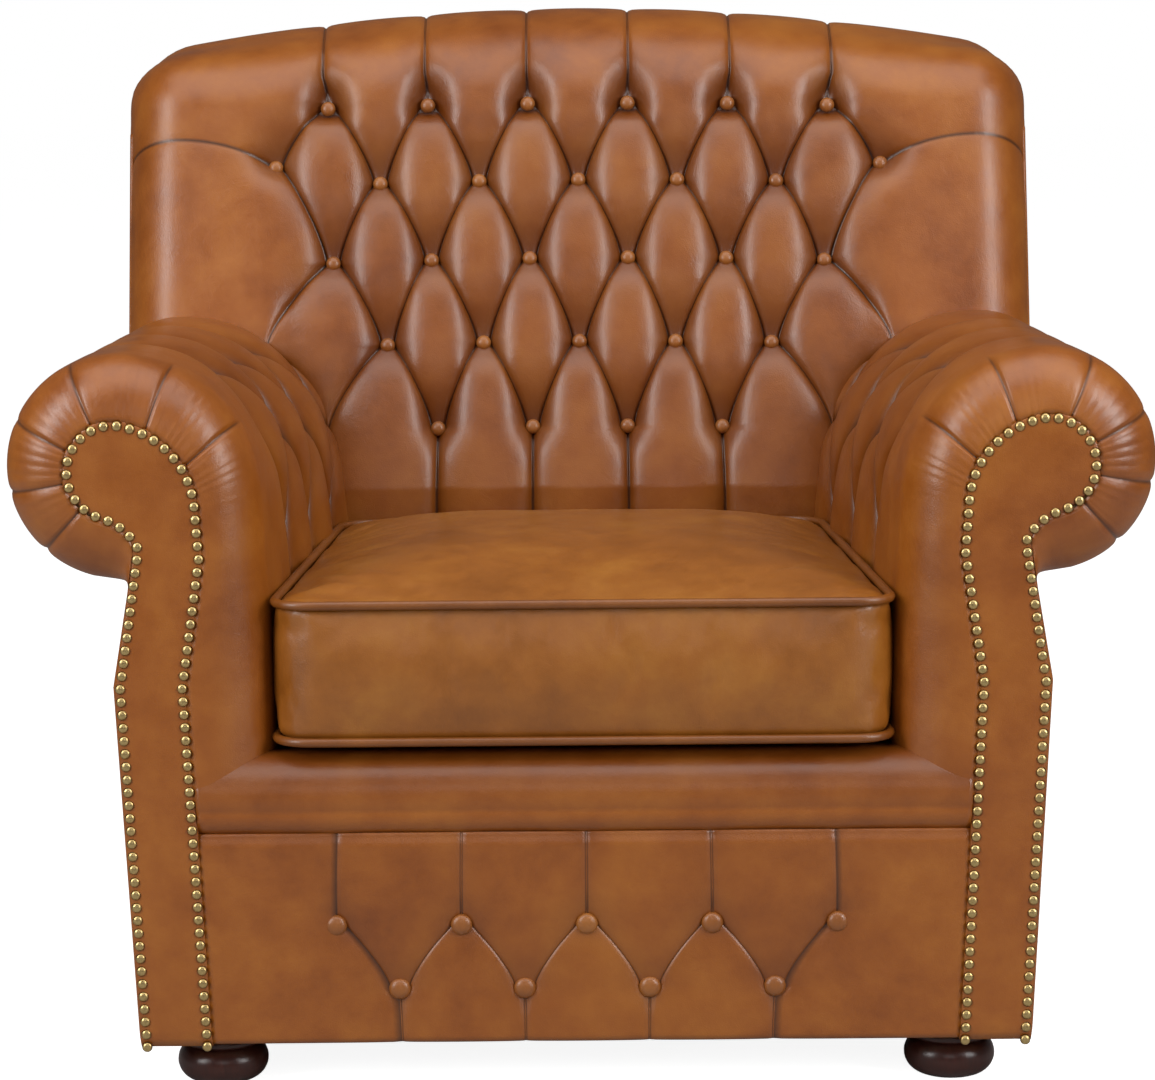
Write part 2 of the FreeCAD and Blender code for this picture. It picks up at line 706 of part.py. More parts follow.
def spread_pairs(xs):
    """Fold lines that meet at a button run side by side, a pleat's width apart."""
    spread = []
    for k, x in enumerate(xs):
        meets_next = k + 1 < len(xs) and abs(xs[k + 1] - x) < 1
        meets_last = k > 0 and abs(xs[k - 1] - x) < 1
        shift = -pleat_width / 2 if meets_next else pleat_width / 2 if meets_last else 0.0
        spread.append(x + shift)
    return spread


def back_section(origin, normal, folds, fold_depth, corner_drop):
    """One section of the buttoned leather: scallops between fold lines, rounded sides."""
    def at(x, height):
        return Vector(x, 0, 0) + origin + normal * height

    def crest_at(x):
        return back_cover_depth - corner_drop * (x / back_half_width) ** 2
    side = back_half_width
    shoulder_height = crest_at(side - back_side_radius)
    edges = []
    left_side = at(-side, max(shoulder_height - back_side_radius, 2.0))
    right_side = at(side, max(shoulder_height - back_side_radius, 2.0))
    left_shoulder = at(-side + back_side_radius, shoulder_height)
    right_shoulder = at(side - back_side_radius, shoulder_height)
    bend = back_side_radius * (1 - math.sqrt(0.5))
    drop = max(shoulder_height - back_side_radius, 2.0)
    bend_height = shoulder_height - (shoulder_height - drop) * 0.29
    edges.append(line(at(-side, 0), left_side))
    edges.append(arc(left_side, at(-side + bend, bend_height), left_shoulder))
    points = [at(x, crest_at(x) - fold_depth) for x in folds]
    places = [-side + back_side_radius] + list(folds) + [side - back_side_radius]
    ends = [left_shoulder] + points + [right_shoulder]
    for k in range(len(ends) - 1):
        middle_x = (places[k] + places[k + 1]) / 2
        width = places[k + 1] - places[k]
        chord_height = ((ends[k] + ends[k + 1]) * 0.5 - at(middle_x, 0)).dot(normal)
        lift = min(crest_at(middle_x), chord_height + width * 0.3)
        lift = max(lift, chord_height + 0.6)
        edges.append(arc(ends[k], at(middle_x, lift), ends[k + 1]))
    edges.append(arc(right_shoulder, at(side - bend, bend_height), right_side))
    edges.append(line(right_side, at(side, 0)))
    edges.append(line(at(side, 0), at(-side, 0)))
    return Part.Wire(edges)


spine = []
back_wires = []


def add_back_station(face, normal, folds, fold_depth, corner_drop=3.0):
    origin = face - normal * back_cover_depth
    spine.append(origin)
    back_wires.append(back_section(origin, normal, folds, fold_depth, corner_drop))


def mix(first, second, share):
    return [between(a, b, share) for a, b in zip(first, second)]


row_folds = [spread_pairs(strands_at_row(row)) for row in range(len(back_button_rows))]
bottom_face = Vector(0, back_face_y, deck_top + cloth)
hip_face = Vector(0, back_face_y, lean_start - 20)
add_back_station(bottom_face, flat_normal, row_folds[0], roll_pleat_depth)
add_back_station(hip_face, flat_normal, row_folds[0], roll_pleat_depth)
for row, row_z in enumerate(back_button_rows):
    add_back_station(face_point(row_z), face_normal, row_folds[row], back_button_depth)
    if row + 1 < len(back_button_rows):
        half_way = (row_z + back_button_rows[row + 1]) / 2
        add_back_station(face_point(half_way), face_normal,
                         mix(row_folds[row], row_folds[row + 1], 0.5), back_fold_depth)
roll_outer = back_cover_depth + back_roll_core
start_angle = math.degrees(rake_angle)
roll_steps = 6
for step in range(1, roll_steps + 2):
    share = min(step / roll_steps, 1.0)
    angle = start_angle + (180 - start_angle) * share + (roll_tuck if step > roll_steps else 0)
    angle = math.radians(angle)
    direction = Vector(0, -math.cos(angle), math.sin(angle))
    folds = [x * (1 + pleat_spread * min(share * 2, 1)) for x in row_folds[-1]]
    add_back_station(roll_centre + direction * roll_outer, direction, folds, roll_pleat_depth,
                     back_corner_drop * max(math.sin(angle), 0.15))


def button_well(centre, normal, radius):
    """Room for a button in the leather that it is pulled into."""
    return Part.makeCylinder(radius + seam_gap, back_cover_depth, centre, normal)


back_button_centres = []
for row, row_z in enumerate(back_button_rows):
    columns = sorted({round(x / back_button_pitch) for x in strands_at_row(row)})
    for column in columns:
        if abs(column) <= back_row_reach[row]:
            corner_rise = outer_button_rise if abs(column) == strand_count / 2 else 0.0
            centre = face_point(row_z + corner_rise) - face_normal * back_button_depth
            centre.x = column * back_button_pitch
            back_button_centres.append(centre)
back_wells = [button_well(c, face_normal, back_button_radius) for c in back_button_centres]
save_group("back_buttons", [
    dome(c, face_normal, back_button_radius, back_button_height) for c in back_button_centres
])
back_cover = Part.makeLoft(back_wires, True, True)
back_cover = back_cover.cut(arm_clearance + back_wells)
save("inside_back_cover", back_cover)

# Foam of the back: fills between the spine and the webbing, and the core of the roll
pad_half_width = back_half_width - border_thickness
under_roll_z = spine[-1].z
pad_outline = [(p.y, p.z) for p in spine]
pad_outline.append((post_line(under_roll_z) - 2 * web_thickness, under_roll_z))
pad_outline.append((post_line(spine[0].z) - 2 * web_thickness, spine[0].z))
back_pad = prism_along_x(pad_outline, -pad_half_width, pad_half_width)
timber_in_roll = [back_post, mirror(back_post), crest_rail, wing_board, mirror(wing_board)]
back_pad = back_pad.cut(arm_clearance + timber_in_roll + straps)
save("back_pad", back_pad)

# Leather on the sides of the back, under the rounded edge
border_outline = pad_outline[:-2] + [
    (post_line(under_roll_z) + back_post_depth, under_roll_z),
    (post_line(spine[0].z) + back_post_depth, spine[0].z),
]
back_border = prism_along_x(border_outline, back_half_width - border_thickness, back_half_width)
back_border = back_border.cut([arm_envelope, beside_arm])
upper_only = block(0, arm_roll_reach, back_face_y, rear_y, scroll_z, overall_depth + back_post_top)
back_border = back_border.common(upper_only)
save_sides("back_border", back_border)

# Outside back: leather on board from the base to under the roll, and the rear end of each arm roll
back_sheet = raked_prism(frame_bottom, under_roll_z, back_post_depth, back_post_depth + panel_thickness,
                         -arm_roll_reach, arm_roll_reach)
back_half = prism_along_y(outside_back_outline(), post_front_y, rear_y)
arm_end = prism_along_y(arm_envelope_section, post_front_y, rear_y)
arm_end = arm_end.common(block(outside_neck_reach, arm_roll_reach, post_front_y, rear_y, 0, back_post_top))
outside_back = back_sheet.common(back_half.fuse(mirror(back_half)).removeSplitter())
save("outside_back", outside_back.cut([arm_end, mirror(arm_end)]))
save_sides("arm_rear_panel", arm_end.common(back_sheet))

# Seat: sinuous springs on clips, hessian, deck pad and deck cloth
spring_front_y = frame_front_y + rail_thickness / 2
spring_rear_y = rear_rail_y + rail_thickness / 2
bar_pitch = 2 * spring_bend_radius
bar_count = int((spring_rear_y - spring_front_y) / bar_pitch)


def sinuous_spring(x):
    """Zigzag wire from the front rail to the rear rail, one bar after another."""
    straight = spring_half_width - spring_bend_radius
    edges = []
    side = 1
    for k in range(bar_count):
        y = spring_front_y + k * bar_pitch
        start = Vector(x - side * straight, y, spring_z)
        end = Vector(x + side * straight, y, spring_z)
        edges.append(line(start, end))
        if k + 1 < bar_count:
            bend = Vector(x + side * spring_half_width, y + spring_bend_radius, spring_z)
            edges.append(arc(end, bend, end + Vector(0, bar_pitch, 0)))
        side = -side
    path = Part.Wire(edges)
    section = Part.Wire(Part.makeCircle(spring_wire_radius, edges[0].Vertexes[0].Point, Vector(1, 0, 0)))
    return path.makePipeShell([section], True, False)


spring_xs = [(k - (spring_count - 1) / 2) * spring_pitch for k in range(spring_count)]
springs = [sinuous_spring(x) for x in spring_xs]
save_group("seat_springs", springs)
last_bar_y = spring_front_y + (bar_count - 1) * bar_pitch


def spring_clip(x, y):
    """Steel clip on top of the rail: a base plate with a cheek on each side of the last bar."""
    x0 = x - clip_width / 2
    x1 = x + clip_width / 2
    clip_top = spring_z + spring_wire_radius
    whole = block(x0, x1, y - clip_length / 2, y + clip_length / 2, rail_top, clip_top)
    channel = block(x0, x1, y - spring_wire_radius, y + spring_wire_radius, rail_top + clip_base, clip_top)
    return whole.cut(channel)


clips = [spring_clip(x, y) for x in spring_xs for y in (spring_front_y, last_bar_y)]
save_group("spring_clips", clips)


def deck_outline(z, front, rear, gap):
    """Seat plan between the arms, narrower at the rear."""
    places = [(front, arm_inner(front)), (back_face_y, arm_inner_rear), (rear, arm_inner_rear)]
    right = [Vector(half - gap, y, z) for y, half in places]
    left = [Vector(gap - half, y, z) for y, half in reversed(places)]
    return Part.Face(Part.makePolygon(right + left + [right[0]]))


lip_back_y = front_y + border_face_setback + lip_depth
deck_rear_y = post_front_y - 2 * web_thickness - 2
hessian = block(-post_inner, post_inner, frame_front_y, rear_rail_y + rail_thickness, hessian_z, lip_bottom)
save("seat_hessian", hessian)
deck_pad = deck_outline(lip_bottom, lip_back_y, deck_rear_y, deck_side_gap)
deck_pad = deck_pad.extrude(Vector(0, 0, deck_top - lip_bottom))
deck_cover = deck_outline(deck_top, lip_back_y, deck_rear_y, deck_side_gap).extrude(Vector(0, 0, cloth))
save("seat_deck_pad", deck_pad.cut([stay_rail] + straps))
save("seat_deck_cloth", deck_cover)

# Lip roll under the cushion: a leather roll on a foam core
lip_front_y = front_y + border_face_setback
lip_step = 3.0
lip_core_front = lip_front_y + lip_step


def lip_profile(x, front, top, bottom, rear):
    """Section of the lip: rounded at the top front, tucked in at the bottom."""
    nose = (top - bottom) * 0.5
    a = Vector(x, rear, bottom)
    b = Vector(x, front + 8, bottom)
    c = Vector(x, front, bottom + nose * 0.6)
    c_mid = Vector(x, front + 1.5, bottom + nose * 0.2)
    d = Vector(x, front + nose, top)
    d_mid = Vector(x, front + nose * 0.22, top - nose * 0.38)
    e = Vector(x, rear, top)
    return Part.Wire([line(a, b), arc(b, c_mid, c), arc(c, d_mid, d), line(d, e), line(e, a)])


foot_slope = (facing_knee_inner - facing_foot_inner) / (facing_knee_z - frame_bottom)


def facing_inner_at(z):
    return facing_foot_inner + (z - frame_bottom) * foot_slope - seam_gap


lip_half = facing_inner_at(lip_bottom)
lip_core_half = arm_inner(lip_back_y) - lip_step
lip = Part.Face(lip_profile(-lip_half, lip_front_y, lip_top, lip_bottom, lip_back_y))
lip = lip.extrude(Vector(2 * lip_half, 0, 0))
lip_core = Part.Face(lip_profile(-lip_core_half, lip_core_front, lip_top - lip_step,
                                 lip_bottom + lip_step, lip_back_y - lip_step))
lip_core = lip_core.extrude(Vector(2 * lip_core_half, 0, 0))
beside_lip = [arm_cover, mirror(arm_cover), facing_zone, mirror(facing_zone), front_post, mirror(front_post)]
save("lip_cover", lip.cut(beside_lip + [lip_core, arm_pad, mirror(arm_pad)]))
save("lip_pad", lip_core)

# Border under the lip: two rows of buttons with folds between them
border_y = lip_front_y
border_pad_y = border_y + border_cover_depth


def border_positions(upper):
    """Fold lines across the border. The upper row has buttons on even columns."""
    xs = []
    for column in range(-border_end_column, border_end_column):
        if (column % 2 == 0) != upper:
            column = column + 1
        xs.append(column * border_button_pitch)
    return spread_pairs(sorted(xs))


def border_section(z, folds, depth):
    half = facing_inner_at(z)
    ends = [-half] + list(folds) + [half]
    heights = [0.0] + [depth] * len(folds) + [0.0]
    edges = []
    for k in range(len(ends) - 1):
        a = Vector(ends[k], border_y + heights[k], z)
        b = Vector(ends[k + 1], border_y + heights[k + 1], z)
        middle = (a + b) * 0.5
        lift = min((b - a).Length * 0.3, middle.y - border_y)
        middle.y = middle.y - max(lift, 0.4)
        edges.append(arc(a, middle, b))
    back_left = Vector(-half, border_pad_y, z)
    back_right = Vector(half, border_pad_y, z)
    edges.append(line(Vector(half, border_y, z), back_right))
    edges.append(line(back_right, back_left))
    edges.append(line(back_left, Vector(-half, border_y, z)))
    return Part.Wire(edges)


upper_folds = border_positions(True)
lower_folds = border_positions(False)
middle_folds = mix(upper_folds, lower_folds, 0.5)
border_top = lip_bottom - seam_gap
border_cover = Part.makeLoft([
    border_section(frame_bottom, lower_folds, 2.0),
    border_section(border_lower_row, lower_folds, border_button_depth),
    border_section((border_lower_row + border_upper_row) / 2, middle_folds, border_button_depth * 0.6),
    border_section(border_upper_row, upper_folds, border_button_depth),
    border_section(border_top, upper_folds, 2.0),
], True, True)
border_buttons = []
border_wells = []
for column in range(-border_end_column, border_end_column + 1):
    row_z = border_upper_row if column % 2 == 0 else border_lower_row
    centre = Vector(column * border_button_pitch, border_y + border_button_depth, row_z)
    border_buttons.append(dome(centre, flat_normal, border_button_radius, border_button_height))
    border_wells.append(button_well(centre, flat_normal, border_button_radius))
save_group("border_buttons", border_buttons)
save("border_cover", border_cover.cut(border_wells))
pad_corners = [(-facing_inner_at(frame_bottom), frame_bottom), (facing_inner_at(frame_bottom), frame_bottom),
               (facing_inner_at(border_top), border_top), (-facing_inner_at(border_top), border_top)]
pad_points = [Vector(x, 0, z) for x, z in pad_corners]
border_pad_wire = Part.makePolygon(pad_points + [pad_points[0]])
save("border_pad", prism_along_y(border_pad_wire, border_pad_y, frame_front_y))

# Dust cover under the frame
dust_cover = block(-frame_half_width, frame_half_width, frame_front_y, post_rear_y, floor_gap, frame_bottom)
save("dust_cover", dust_cover.cut(bolts))

# Loose seat cushion: crowned, with sides that draw in between two piped seams
cushion_front_y = front_y + cushion_front_setback
cushion_front_half = arm_inner(cushion_front_y) - piping_radius - cushion_side_clearance
cushion_rear_half = arm_inner(cushion_rear_y) - piping_radius - cushion_side_clearance


def cushion_outline(z, inset):
    """Plan of the cushion: wider at the front, with rounded corners."""
    front = cushion_front_y + inset
    rear = cushion_rear_y - inset
    front_half = cushion_front_half - inset
    rear_half = cushion_rear_half - inset
    radius = max(cushion_corner_radius - inset * 0.4, 6.0)
    corners = [Vector(-front_half, front, z), Vector(front_half, front, z),
               Vector(rear_half, rear, z), Vector(-rear_half, rear, z)]
    starts, ends, mids = [], [], []
    for k, corner in enumerate(corners):
        to_last = (corners[k - 1] - corner).normalize()
        to_next = (corners[(k + 1) % 4] - corner).normalize()
        half_angle = to_last.getAngle(to_next) / 2
        reach = radius / math.tan(half_angle)
        inward = (to_last + to_next).normalize()
        centre = corner + inward * (radius / math.sin(half_angle))
        starts.append(corner + to_last * reach)
        ends.append(corner + to_next * reach)
        mids.append(centre - inward * radius)
    edges = []
    for k in range(4):
        edges.append(arc(starts[k], mids[k], ends[k]))
        edges.append(line(ends[k], starts[(k + 1) % 4]))
    return Part.Wire(edges)


def cushion_body(skin):
    """The cushion's form, drawn in by skin all round."""
    height = cushion_upper_seam - cushion_lower_seam
    middle = (cushion_upper_seam + cushion_lower_seam) / 2
    belly = cushion_lower_seam - cushion_bottom
    crown = cushion_crown
    levels = [
        (cushion_bottom + skin, 34.0 + skin),
        (cushion_bottom + belly * 0.4 + skin * 0.6, 9.0 + skin),
        (cushion_lower_seam + skin * 0.3, skin),
        (middle - height * 0.22, cushion_waist * 0.8 + skin),
        (middle, cushion_waist + skin),
        (middle + height * 0.22, cushion_waist * 0.8 + skin),
        (cushion_upper_seam - skin * 0.3, skin),
        (cushion_upper_seam + crown * 0.45 - skin, 26.0 + skin),
        (cushion_upper_seam + crown * 0.8 - skin, 75.0 + skin),
        (cushion_upper_seam + crown - skin, 150.0 + skin),
    ]
    return Part.makeLoft([cushion_outline(z, inset) for z, inset in levels], True, True)


def piping(z):
    path = cushion_outline(z, 0.0)
    start = path.Edges[1]
    point = start.valueAt(start.FirstParameter)
    section = Part.Wire(Part.makeCircle(piping_radius, point, start.tangentAt(start.FirstParameter)))
    ordered = Part.Wire(path.Edges[1:] + path.Edges[:1])
    return ordered.makePipeShell([section], True, False)


cushion_core = cushion_body(cushion_leather)
cushion_skin = cushion_body(0.0).cut(cushion_core)
upper_piping = piping(cushion_upper_seam)
lower_piping = piping(cushion_lower_seam)
cushion_core = cushion_core.cut(upper_piping).cut(lower_piping)
everything = arm_roll_reach
above = block(-everything, everything, front_y, rear_y, cushion_upper_seam, cushion_upper_seam + everything)
below = block(-everything, everything, front_y, rear_y, 0, cushion_lower_seam)
side_band = block(-everything, everything, front_y, rear_y, cushion_lower_seam, cushion_upper_seam)
pipes = [upper_piping, lower_piping]
top_panel = cushion_skin.common(above).cut(pipes)
bottom_panel = cushion_skin.common(below).cut(pipes)
boxing = cushion_skin.common(side_band).cut(pipes)
zip_z = (cushion_upper_seam + cushion_lower_seam) / 2
zip_y = cushion_rear_y - cushion_waist
zip_strip = block(-zip_length / 2, zip_length / 2, zip_y - zip_thickness / 2, zip_y + zip_thickness,
                  zip_z - zip_width / 2, zip_z + zip_width / 2)
save("cushion_core", cushion_core)
save("cushion_top_panel", top_panel)
save("cushion_bottom_panel", bottom_panel)
save("cushion_boxing", largest(boxing.cut(zip_strip)))
save("cushion_zip", zip_strip.cut(cushion_core))
save_group("cushion_piping", pipes)
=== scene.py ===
import math

import bpy
import numpy as np
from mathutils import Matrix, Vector


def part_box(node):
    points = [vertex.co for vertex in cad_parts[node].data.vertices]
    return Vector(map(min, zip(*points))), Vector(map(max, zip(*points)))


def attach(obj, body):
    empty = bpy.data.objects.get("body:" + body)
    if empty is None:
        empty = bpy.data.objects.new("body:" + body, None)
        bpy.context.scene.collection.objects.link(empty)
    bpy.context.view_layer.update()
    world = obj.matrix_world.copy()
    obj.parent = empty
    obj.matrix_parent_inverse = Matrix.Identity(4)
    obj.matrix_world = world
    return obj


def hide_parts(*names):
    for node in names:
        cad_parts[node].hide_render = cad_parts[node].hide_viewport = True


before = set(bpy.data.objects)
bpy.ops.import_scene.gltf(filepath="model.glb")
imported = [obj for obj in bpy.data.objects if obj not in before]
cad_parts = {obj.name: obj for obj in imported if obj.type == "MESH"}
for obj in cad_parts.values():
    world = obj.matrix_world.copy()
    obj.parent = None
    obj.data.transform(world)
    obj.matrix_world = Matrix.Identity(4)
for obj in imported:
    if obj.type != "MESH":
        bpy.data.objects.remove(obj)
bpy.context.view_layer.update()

# Deep-buttoned leather armchair. Sizes are millimetres in the chair's own frame: +Z up, floor at
# z = 0, the chair faces -Y. Meshes are turned to metres where they are made.

# Photographer's corner: a pale floor that runs on as a white backdrop, a tall softbox at each front
# corner, a wide one overhead and a weak one over the camera. The camera stands level with the top
# of the back, looking slightly down. Lamps are placed and sized in metres.
CAMERA_PLACE = (-4.0, -3450.0, 950.0)
CAMERA_PITCH = 8.45
CAMERA_ROLL = 0.5
CAMERA_LENS = 107.06
BACKDROP_COLOUR = "#FFFFFF"
AIR_LEVEL = 0.11
FLOOR_GLOW = 0.9


def linear(hex_colour):
    """Linear colour of an sRGB hex value."""
    parts = [int(hex_colour[k:k + 2], 16) / 255 for k in (1, 3, 5)]
    return tuple(p / 12.92 if p <= 0.04045 else ((p + 0.055) / 1.055) ** 2.4 for p in parts) + (1.0,)


def add_node(tree, kind, settings=None, inputs=None):
    """A shader node with its settings, and its inputs set or linked."""
    node = tree.nodes.new(kind)
    for name, value in (settings or {}).items():
        setattr(node, name, value)
    for name, value in (inputs or {}).items():
        if isinstance(value, bpy.types.NodeSocket):
            tree.links.new(value, node.inputs[name])
        else:
            node.inputs[name].default_value = value
    return node


def new_material(name):
    """A material with an empty node tree."""
    material = bpy.data.materials.new(name)
    material.use_nodes = True
    material.node_tree.nodes.clear()
    return material


camera_data = bpy.data.cameras.new("camera")
camera_data.lens = CAMERA_LENS
camera_data.sensor_width = 36.0
camera_data.clip_end = 50.0
camera = bpy.data.objects.new("camera", camera_data)
camera.location = [c / 1000 for c in CAMERA_PLACE]
camera.rotation_mode = "XYZ"
pitch = math.radians(CAMERA_PITCH)
looking = Vector((0.0, math.cos(pitch), -math.sin(pitch)))
camera.rotation_euler = looking.to_track_quat("-Z", "Y").to_euler()
camera.rotation_euler.rotate_axis("Z", math.radians(-CAMERA_ROLL))
bpy.context.scene.collection.objects.link(camera)
bpy.context.scene.camera = camera
bpy.context.scene.view_settings.view_transform = "Standard"

# The air lights the chair a little from all round, and shows as the backdrop to the camera only.
world = bpy.data.worlds.new("studio_air")
world.use_nodes = True
air = world.node_tree
air.nodes.clear()
air_path = add_node(air, "ShaderNodeLightPath")
air_seen = add_node(air, "ShaderNodeMath", {"operation": "MAXIMUM"},
                    {0: air_path.outputs["Is Camera Ray"], 1: air_path.outputs["Is Transmission Ray"]})
air_light = add_node(air, "ShaderNodeBackground", {}, {"Color": linear("#FFFFFF"), "Strength": AIR_LEVEL})
air_shown = add_node(air, "ShaderNodeBackground", {}, {"Color": linear(BACKDROP_COLOUR), "Strength": 1.0})
air_mix = add_node(air, "ShaderNodeMixShader", {}, {0: air_seen.outputs[0]})
air.links.new(air_light.outputs[0], air_mix.inputs[1])
air.links.new(air_shown.outputs[0], air_mix.inputs[2])
air_out = add_node(air, "ShaderNodeOutputWorld")
air.links.new(air_mix.outputs[0], air_out.inputs["Surface"])
bpy.context.scene.world = world


def softbox(name, place, target, width, height, watts):
    """A rectangular area lamp turned to its target."""
    data = bpy.data.lights.new(name, "AREA")
    data.shape = "RECTANGLE"
    data.size = width
    data.size_y = height
    data.energy = watts
    lamp = bpy.data.objects.new(name, data)
    lamp.location = place
    lamp.rotation_euler = (Vector(target) - Vector(place)).to_track_quat("-Z", "Y").to_euler()
    bpy.context.scene.collection.objects.link(lamp)


softbox("softbox_left", (-2.3, -1.9, 1.7), (0.0, -0.1, 0.55), 0.9, 2.0, 52)
softbox("softbox_right", (2.3, -1.9, 1.7), (0.0, -0.1, 0.55), 0.9, 2.0, 52)
softbox("softbox_top", (0.0, -0.9, 3.1), (0.0, 0.0, 0.5), 3.6, 2.6, 58)
softbox("softbox_front", (0.0, -4.2, 1.6), (0.0, 0.0, 0.45), 1.8, 1.0, 9)

# Floor: smooth pale vinyl over the studio floor. To the camera it glows a little, so that it runs
# on into the backdrop with only the chair's shadow on it. To all other rays it is a plain grey,
# which bounces a soft light up under the chair.
floor_mesh = bpy.data.meshes.new("floor")
floor_mesh.from_pydata([(-30, -30, 0), (30, -30, 0), (30, 30, 0), (-30, 30, 0)], [], [(0, 1, 2, 3)])
floor = bpy.data.objects.new("floor", floor_mesh)
bpy.context.scene.collection.objects.link(floor)
floor_vinyl = new_material("pale_floor_vinyl")
floor_tree = floor_vinyl.node_tree
floor_seen = add_node(floor_tree, "ShaderNodeBsdfDiffuse", {}, {"Color": linear("#F2F2F2")})
floor_glow = add_node(floor_tree, "ShaderNodeEmission", {}, {
    "Color": linear("#FFFFFF"), "Strength": FLOOR_GLOW})
floor_sum = add_node(floor_tree, "ShaderNodeAddShader")
floor_tree.links.new(floor_seen.outputs[0], floor_sum.inputs[0])
floor_tree.links.new(floor_glow.outputs[0], floor_sum.inputs[1])
floor_bounce = add_node(floor_tree, "ShaderNodeBsdfDiffuse", {}, {"Color": linear("#A8A8A8")})
floor_path = add_node(floor_tree, "ShaderNodeLightPath")
floor_mix = add_node(floor_tree, "ShaderNodeMixShader", {}, {0: floor_path.outputs["Is Camera Ray"]})
floor_tree.links.new(floor_bounce.outputs[0], floor_mix.inputs[1])
floor_tree.links.new(floor_sum.outputs[0], floor_mix.inputs[2])
add_node(floor_tree, "ShaderNodeOutputMaterial", {}, {"Surface": floor_mix.outputs[0]})
floor_mesh.materials.append(floor_vinyl)

# Inside back: one hide of tan pull-up leather laid over foam and pulled in at every button, so it
# stands up in pillows between folded pleats. It runs on over the roll at the top and down behind.
BACK_FACE_Y = 89.0
LEAN_START = 480.0
LEAN_BLEND = 50.0
BACK_RAKE = math.atan(0.26)
BACK_HALF = 478.0
BACK_SIDE_RADIUS = 62.0
BACK_PADDING = 52.0
BACK_BOTTOM_Z = 311.0
FACE_DROP = 3.0  # how far the face falls away at its sides
ROLL_START_Z = 875.0
ROLL_REACH = 131.0
ROLL_CENTRE = (318.5, 842.5)
ROLL_TUCK = 14.0
CORNER_DROP = 48.0
CORNER_DROP_BY = 1.2  # radians round the roll, where the corners have dropped fully
BACK_ROWS_Z = (875.0, 795.0, 714.0, 628.0, 541.0)
BACK_COLUMN_STEP = (52.8, 52.2, 51.7, 50.4, 49.6)
BACK_ROW_REACH = (5, 6, 5, 4, 3)
BACK_ROW_CROWN = 4.0
OUTER_BUTTON_RISE = 19.0
OPEN_PLEAT_STEP = 50.4  # pleats run on like this past the last button of rows 3 and 4
OPEN_PLEAT_OUT = {3: 24.0, 4: 12.0}
ROLL_SPREAD = 1.085
PLEAT_SPREAD = 1.02
PLEAT_HALF = 0.4
PLEAT_MOUTH = 0.6
SIDE_PLEAT_ARCH = 99.2
SIDE_PLEAT_RISE = 4.0
SIDE_PLEAT_PULL = 45.0
BUTTON_RADIUS = 7.8
BACK_BUTTON_DEPTH = 25.0
BACK_FOLD_DEPTH = 14.0
ROLL_PLEAT_DEPTH = 2.6
DIMPLE_REACH = 25.0
CUP_DEPTH = 9.0
CUP_REACH = 17.0
FLANK = 6.5  # how far beside a button its pleat passes
PILLOW_REACH = 24.0  # how far the pull of a fold reaches into its pillow
PILLOW_FULLNESS = 0.62
NOTCH_DEPTH = 2.0
NOTCH_WIDTH = 1.6
WING_FROM_X = 330.0
WING_LEAST = 0.34
WING_OPENS_Z = (545.0, 600.0)
FOLD_BEND = {"fold": (0.40, 0.28, 0.90, 0.70), "pleat": (0.45, 0.2, 1.0, 0.6)}


def smooth_step(value, low, high):
    share = np.clip((value - low) / (high - low), 0.0, 1.0)
    return share * share * (3 - 2 * share)


def face_length(z):
    """Distance up the face of the back from where it begins to lean."""
    return np.where(z > LEAN_START, (z - LEAN_START) / math.cos(BACK_RAKE), z - LEAN_START)


ROLL_START = float(face_length(ROLL_START_Z))


def back_frame(length):
    """Place (y, z) and outward direction (y, z) of the back's middle line, and how far the hide
    falls away from it at the sides."""
    on_roll = length > ROLL_START
    angle = BACK_RAKE + np.maximum(length - ROLL_START, 0.0) / ROLL_REACH
    rake = np.clip((length + LEAN_BLEND / 2) / LEAN_BLEND, 0.0, 1.0) * BACK_RAKE
    direction_y = np.where(on_roll, -np.cos(angle), -np.cos(rake))
    direction_z = np.where(on_roll, np.sin(angle), np.sin(rake))
    face_y = BACK_FACE_Y + np.maximum(length, 0.0) * math.sin(BACK_RAKE)
    face_z = LEAN_START + np.where(length > 0, length * math.cos(BACK_RAKE), length)
    place_y = np.where(on_roll, ROLL_CENTRE[0] + direction_y * ROLL_REACH, face_y)
    place_z = np.where(on_roll, ROLL_CENTRE[1] + direction_z * ROLL_REACH, face_z)
    corner = CORNER_DROP * np.clip(np.sin(angle), 0.1, 1.0) - FACE_DROP
    drop = FACE_DROP + np.where(on_roll, corner * smooth_step(angle, BACK_RAKE, CORNER_DROP_BY), 0.0)
    return place_y, place_z, direction_y, direction_z, drop


def back_point(across, length, lift):
    """Point of the back at a distance across and up the hide, raised by lift."""
    place_y, place_z, direction_y, direction_z, drop = back_frame(length)
    side = np.sign(across)
    flat_half = BACK_HALF - BACK_SIDE_RADIUS
    beyond = np.maximum(np.abs(across) - flat_half, 0.0)
    quarter = BACK_SIDE_RADIUS * math.pi / 2
    bend = np.minimum(beyond, quarter) / BACK_SIDE_RADIUS
    straight = np.maximum(beyond - quarter, 0.0)
    radius = BACK_SIDE_RADIUS + lift
    x = side * (np.minimum(np.abs(across), flat_half) + radius * np.sin(bend))
    height = -drop * (np.minimum(np.abs(x), BACK_HALF) / BACK_HALF) ** 2
    height = height - BACK_SIDE_RADIUS + radius * np.cos(bend) - straight
    return np.stack([x, place_y + direction_y * height, place_z + direction_z * height], -1)


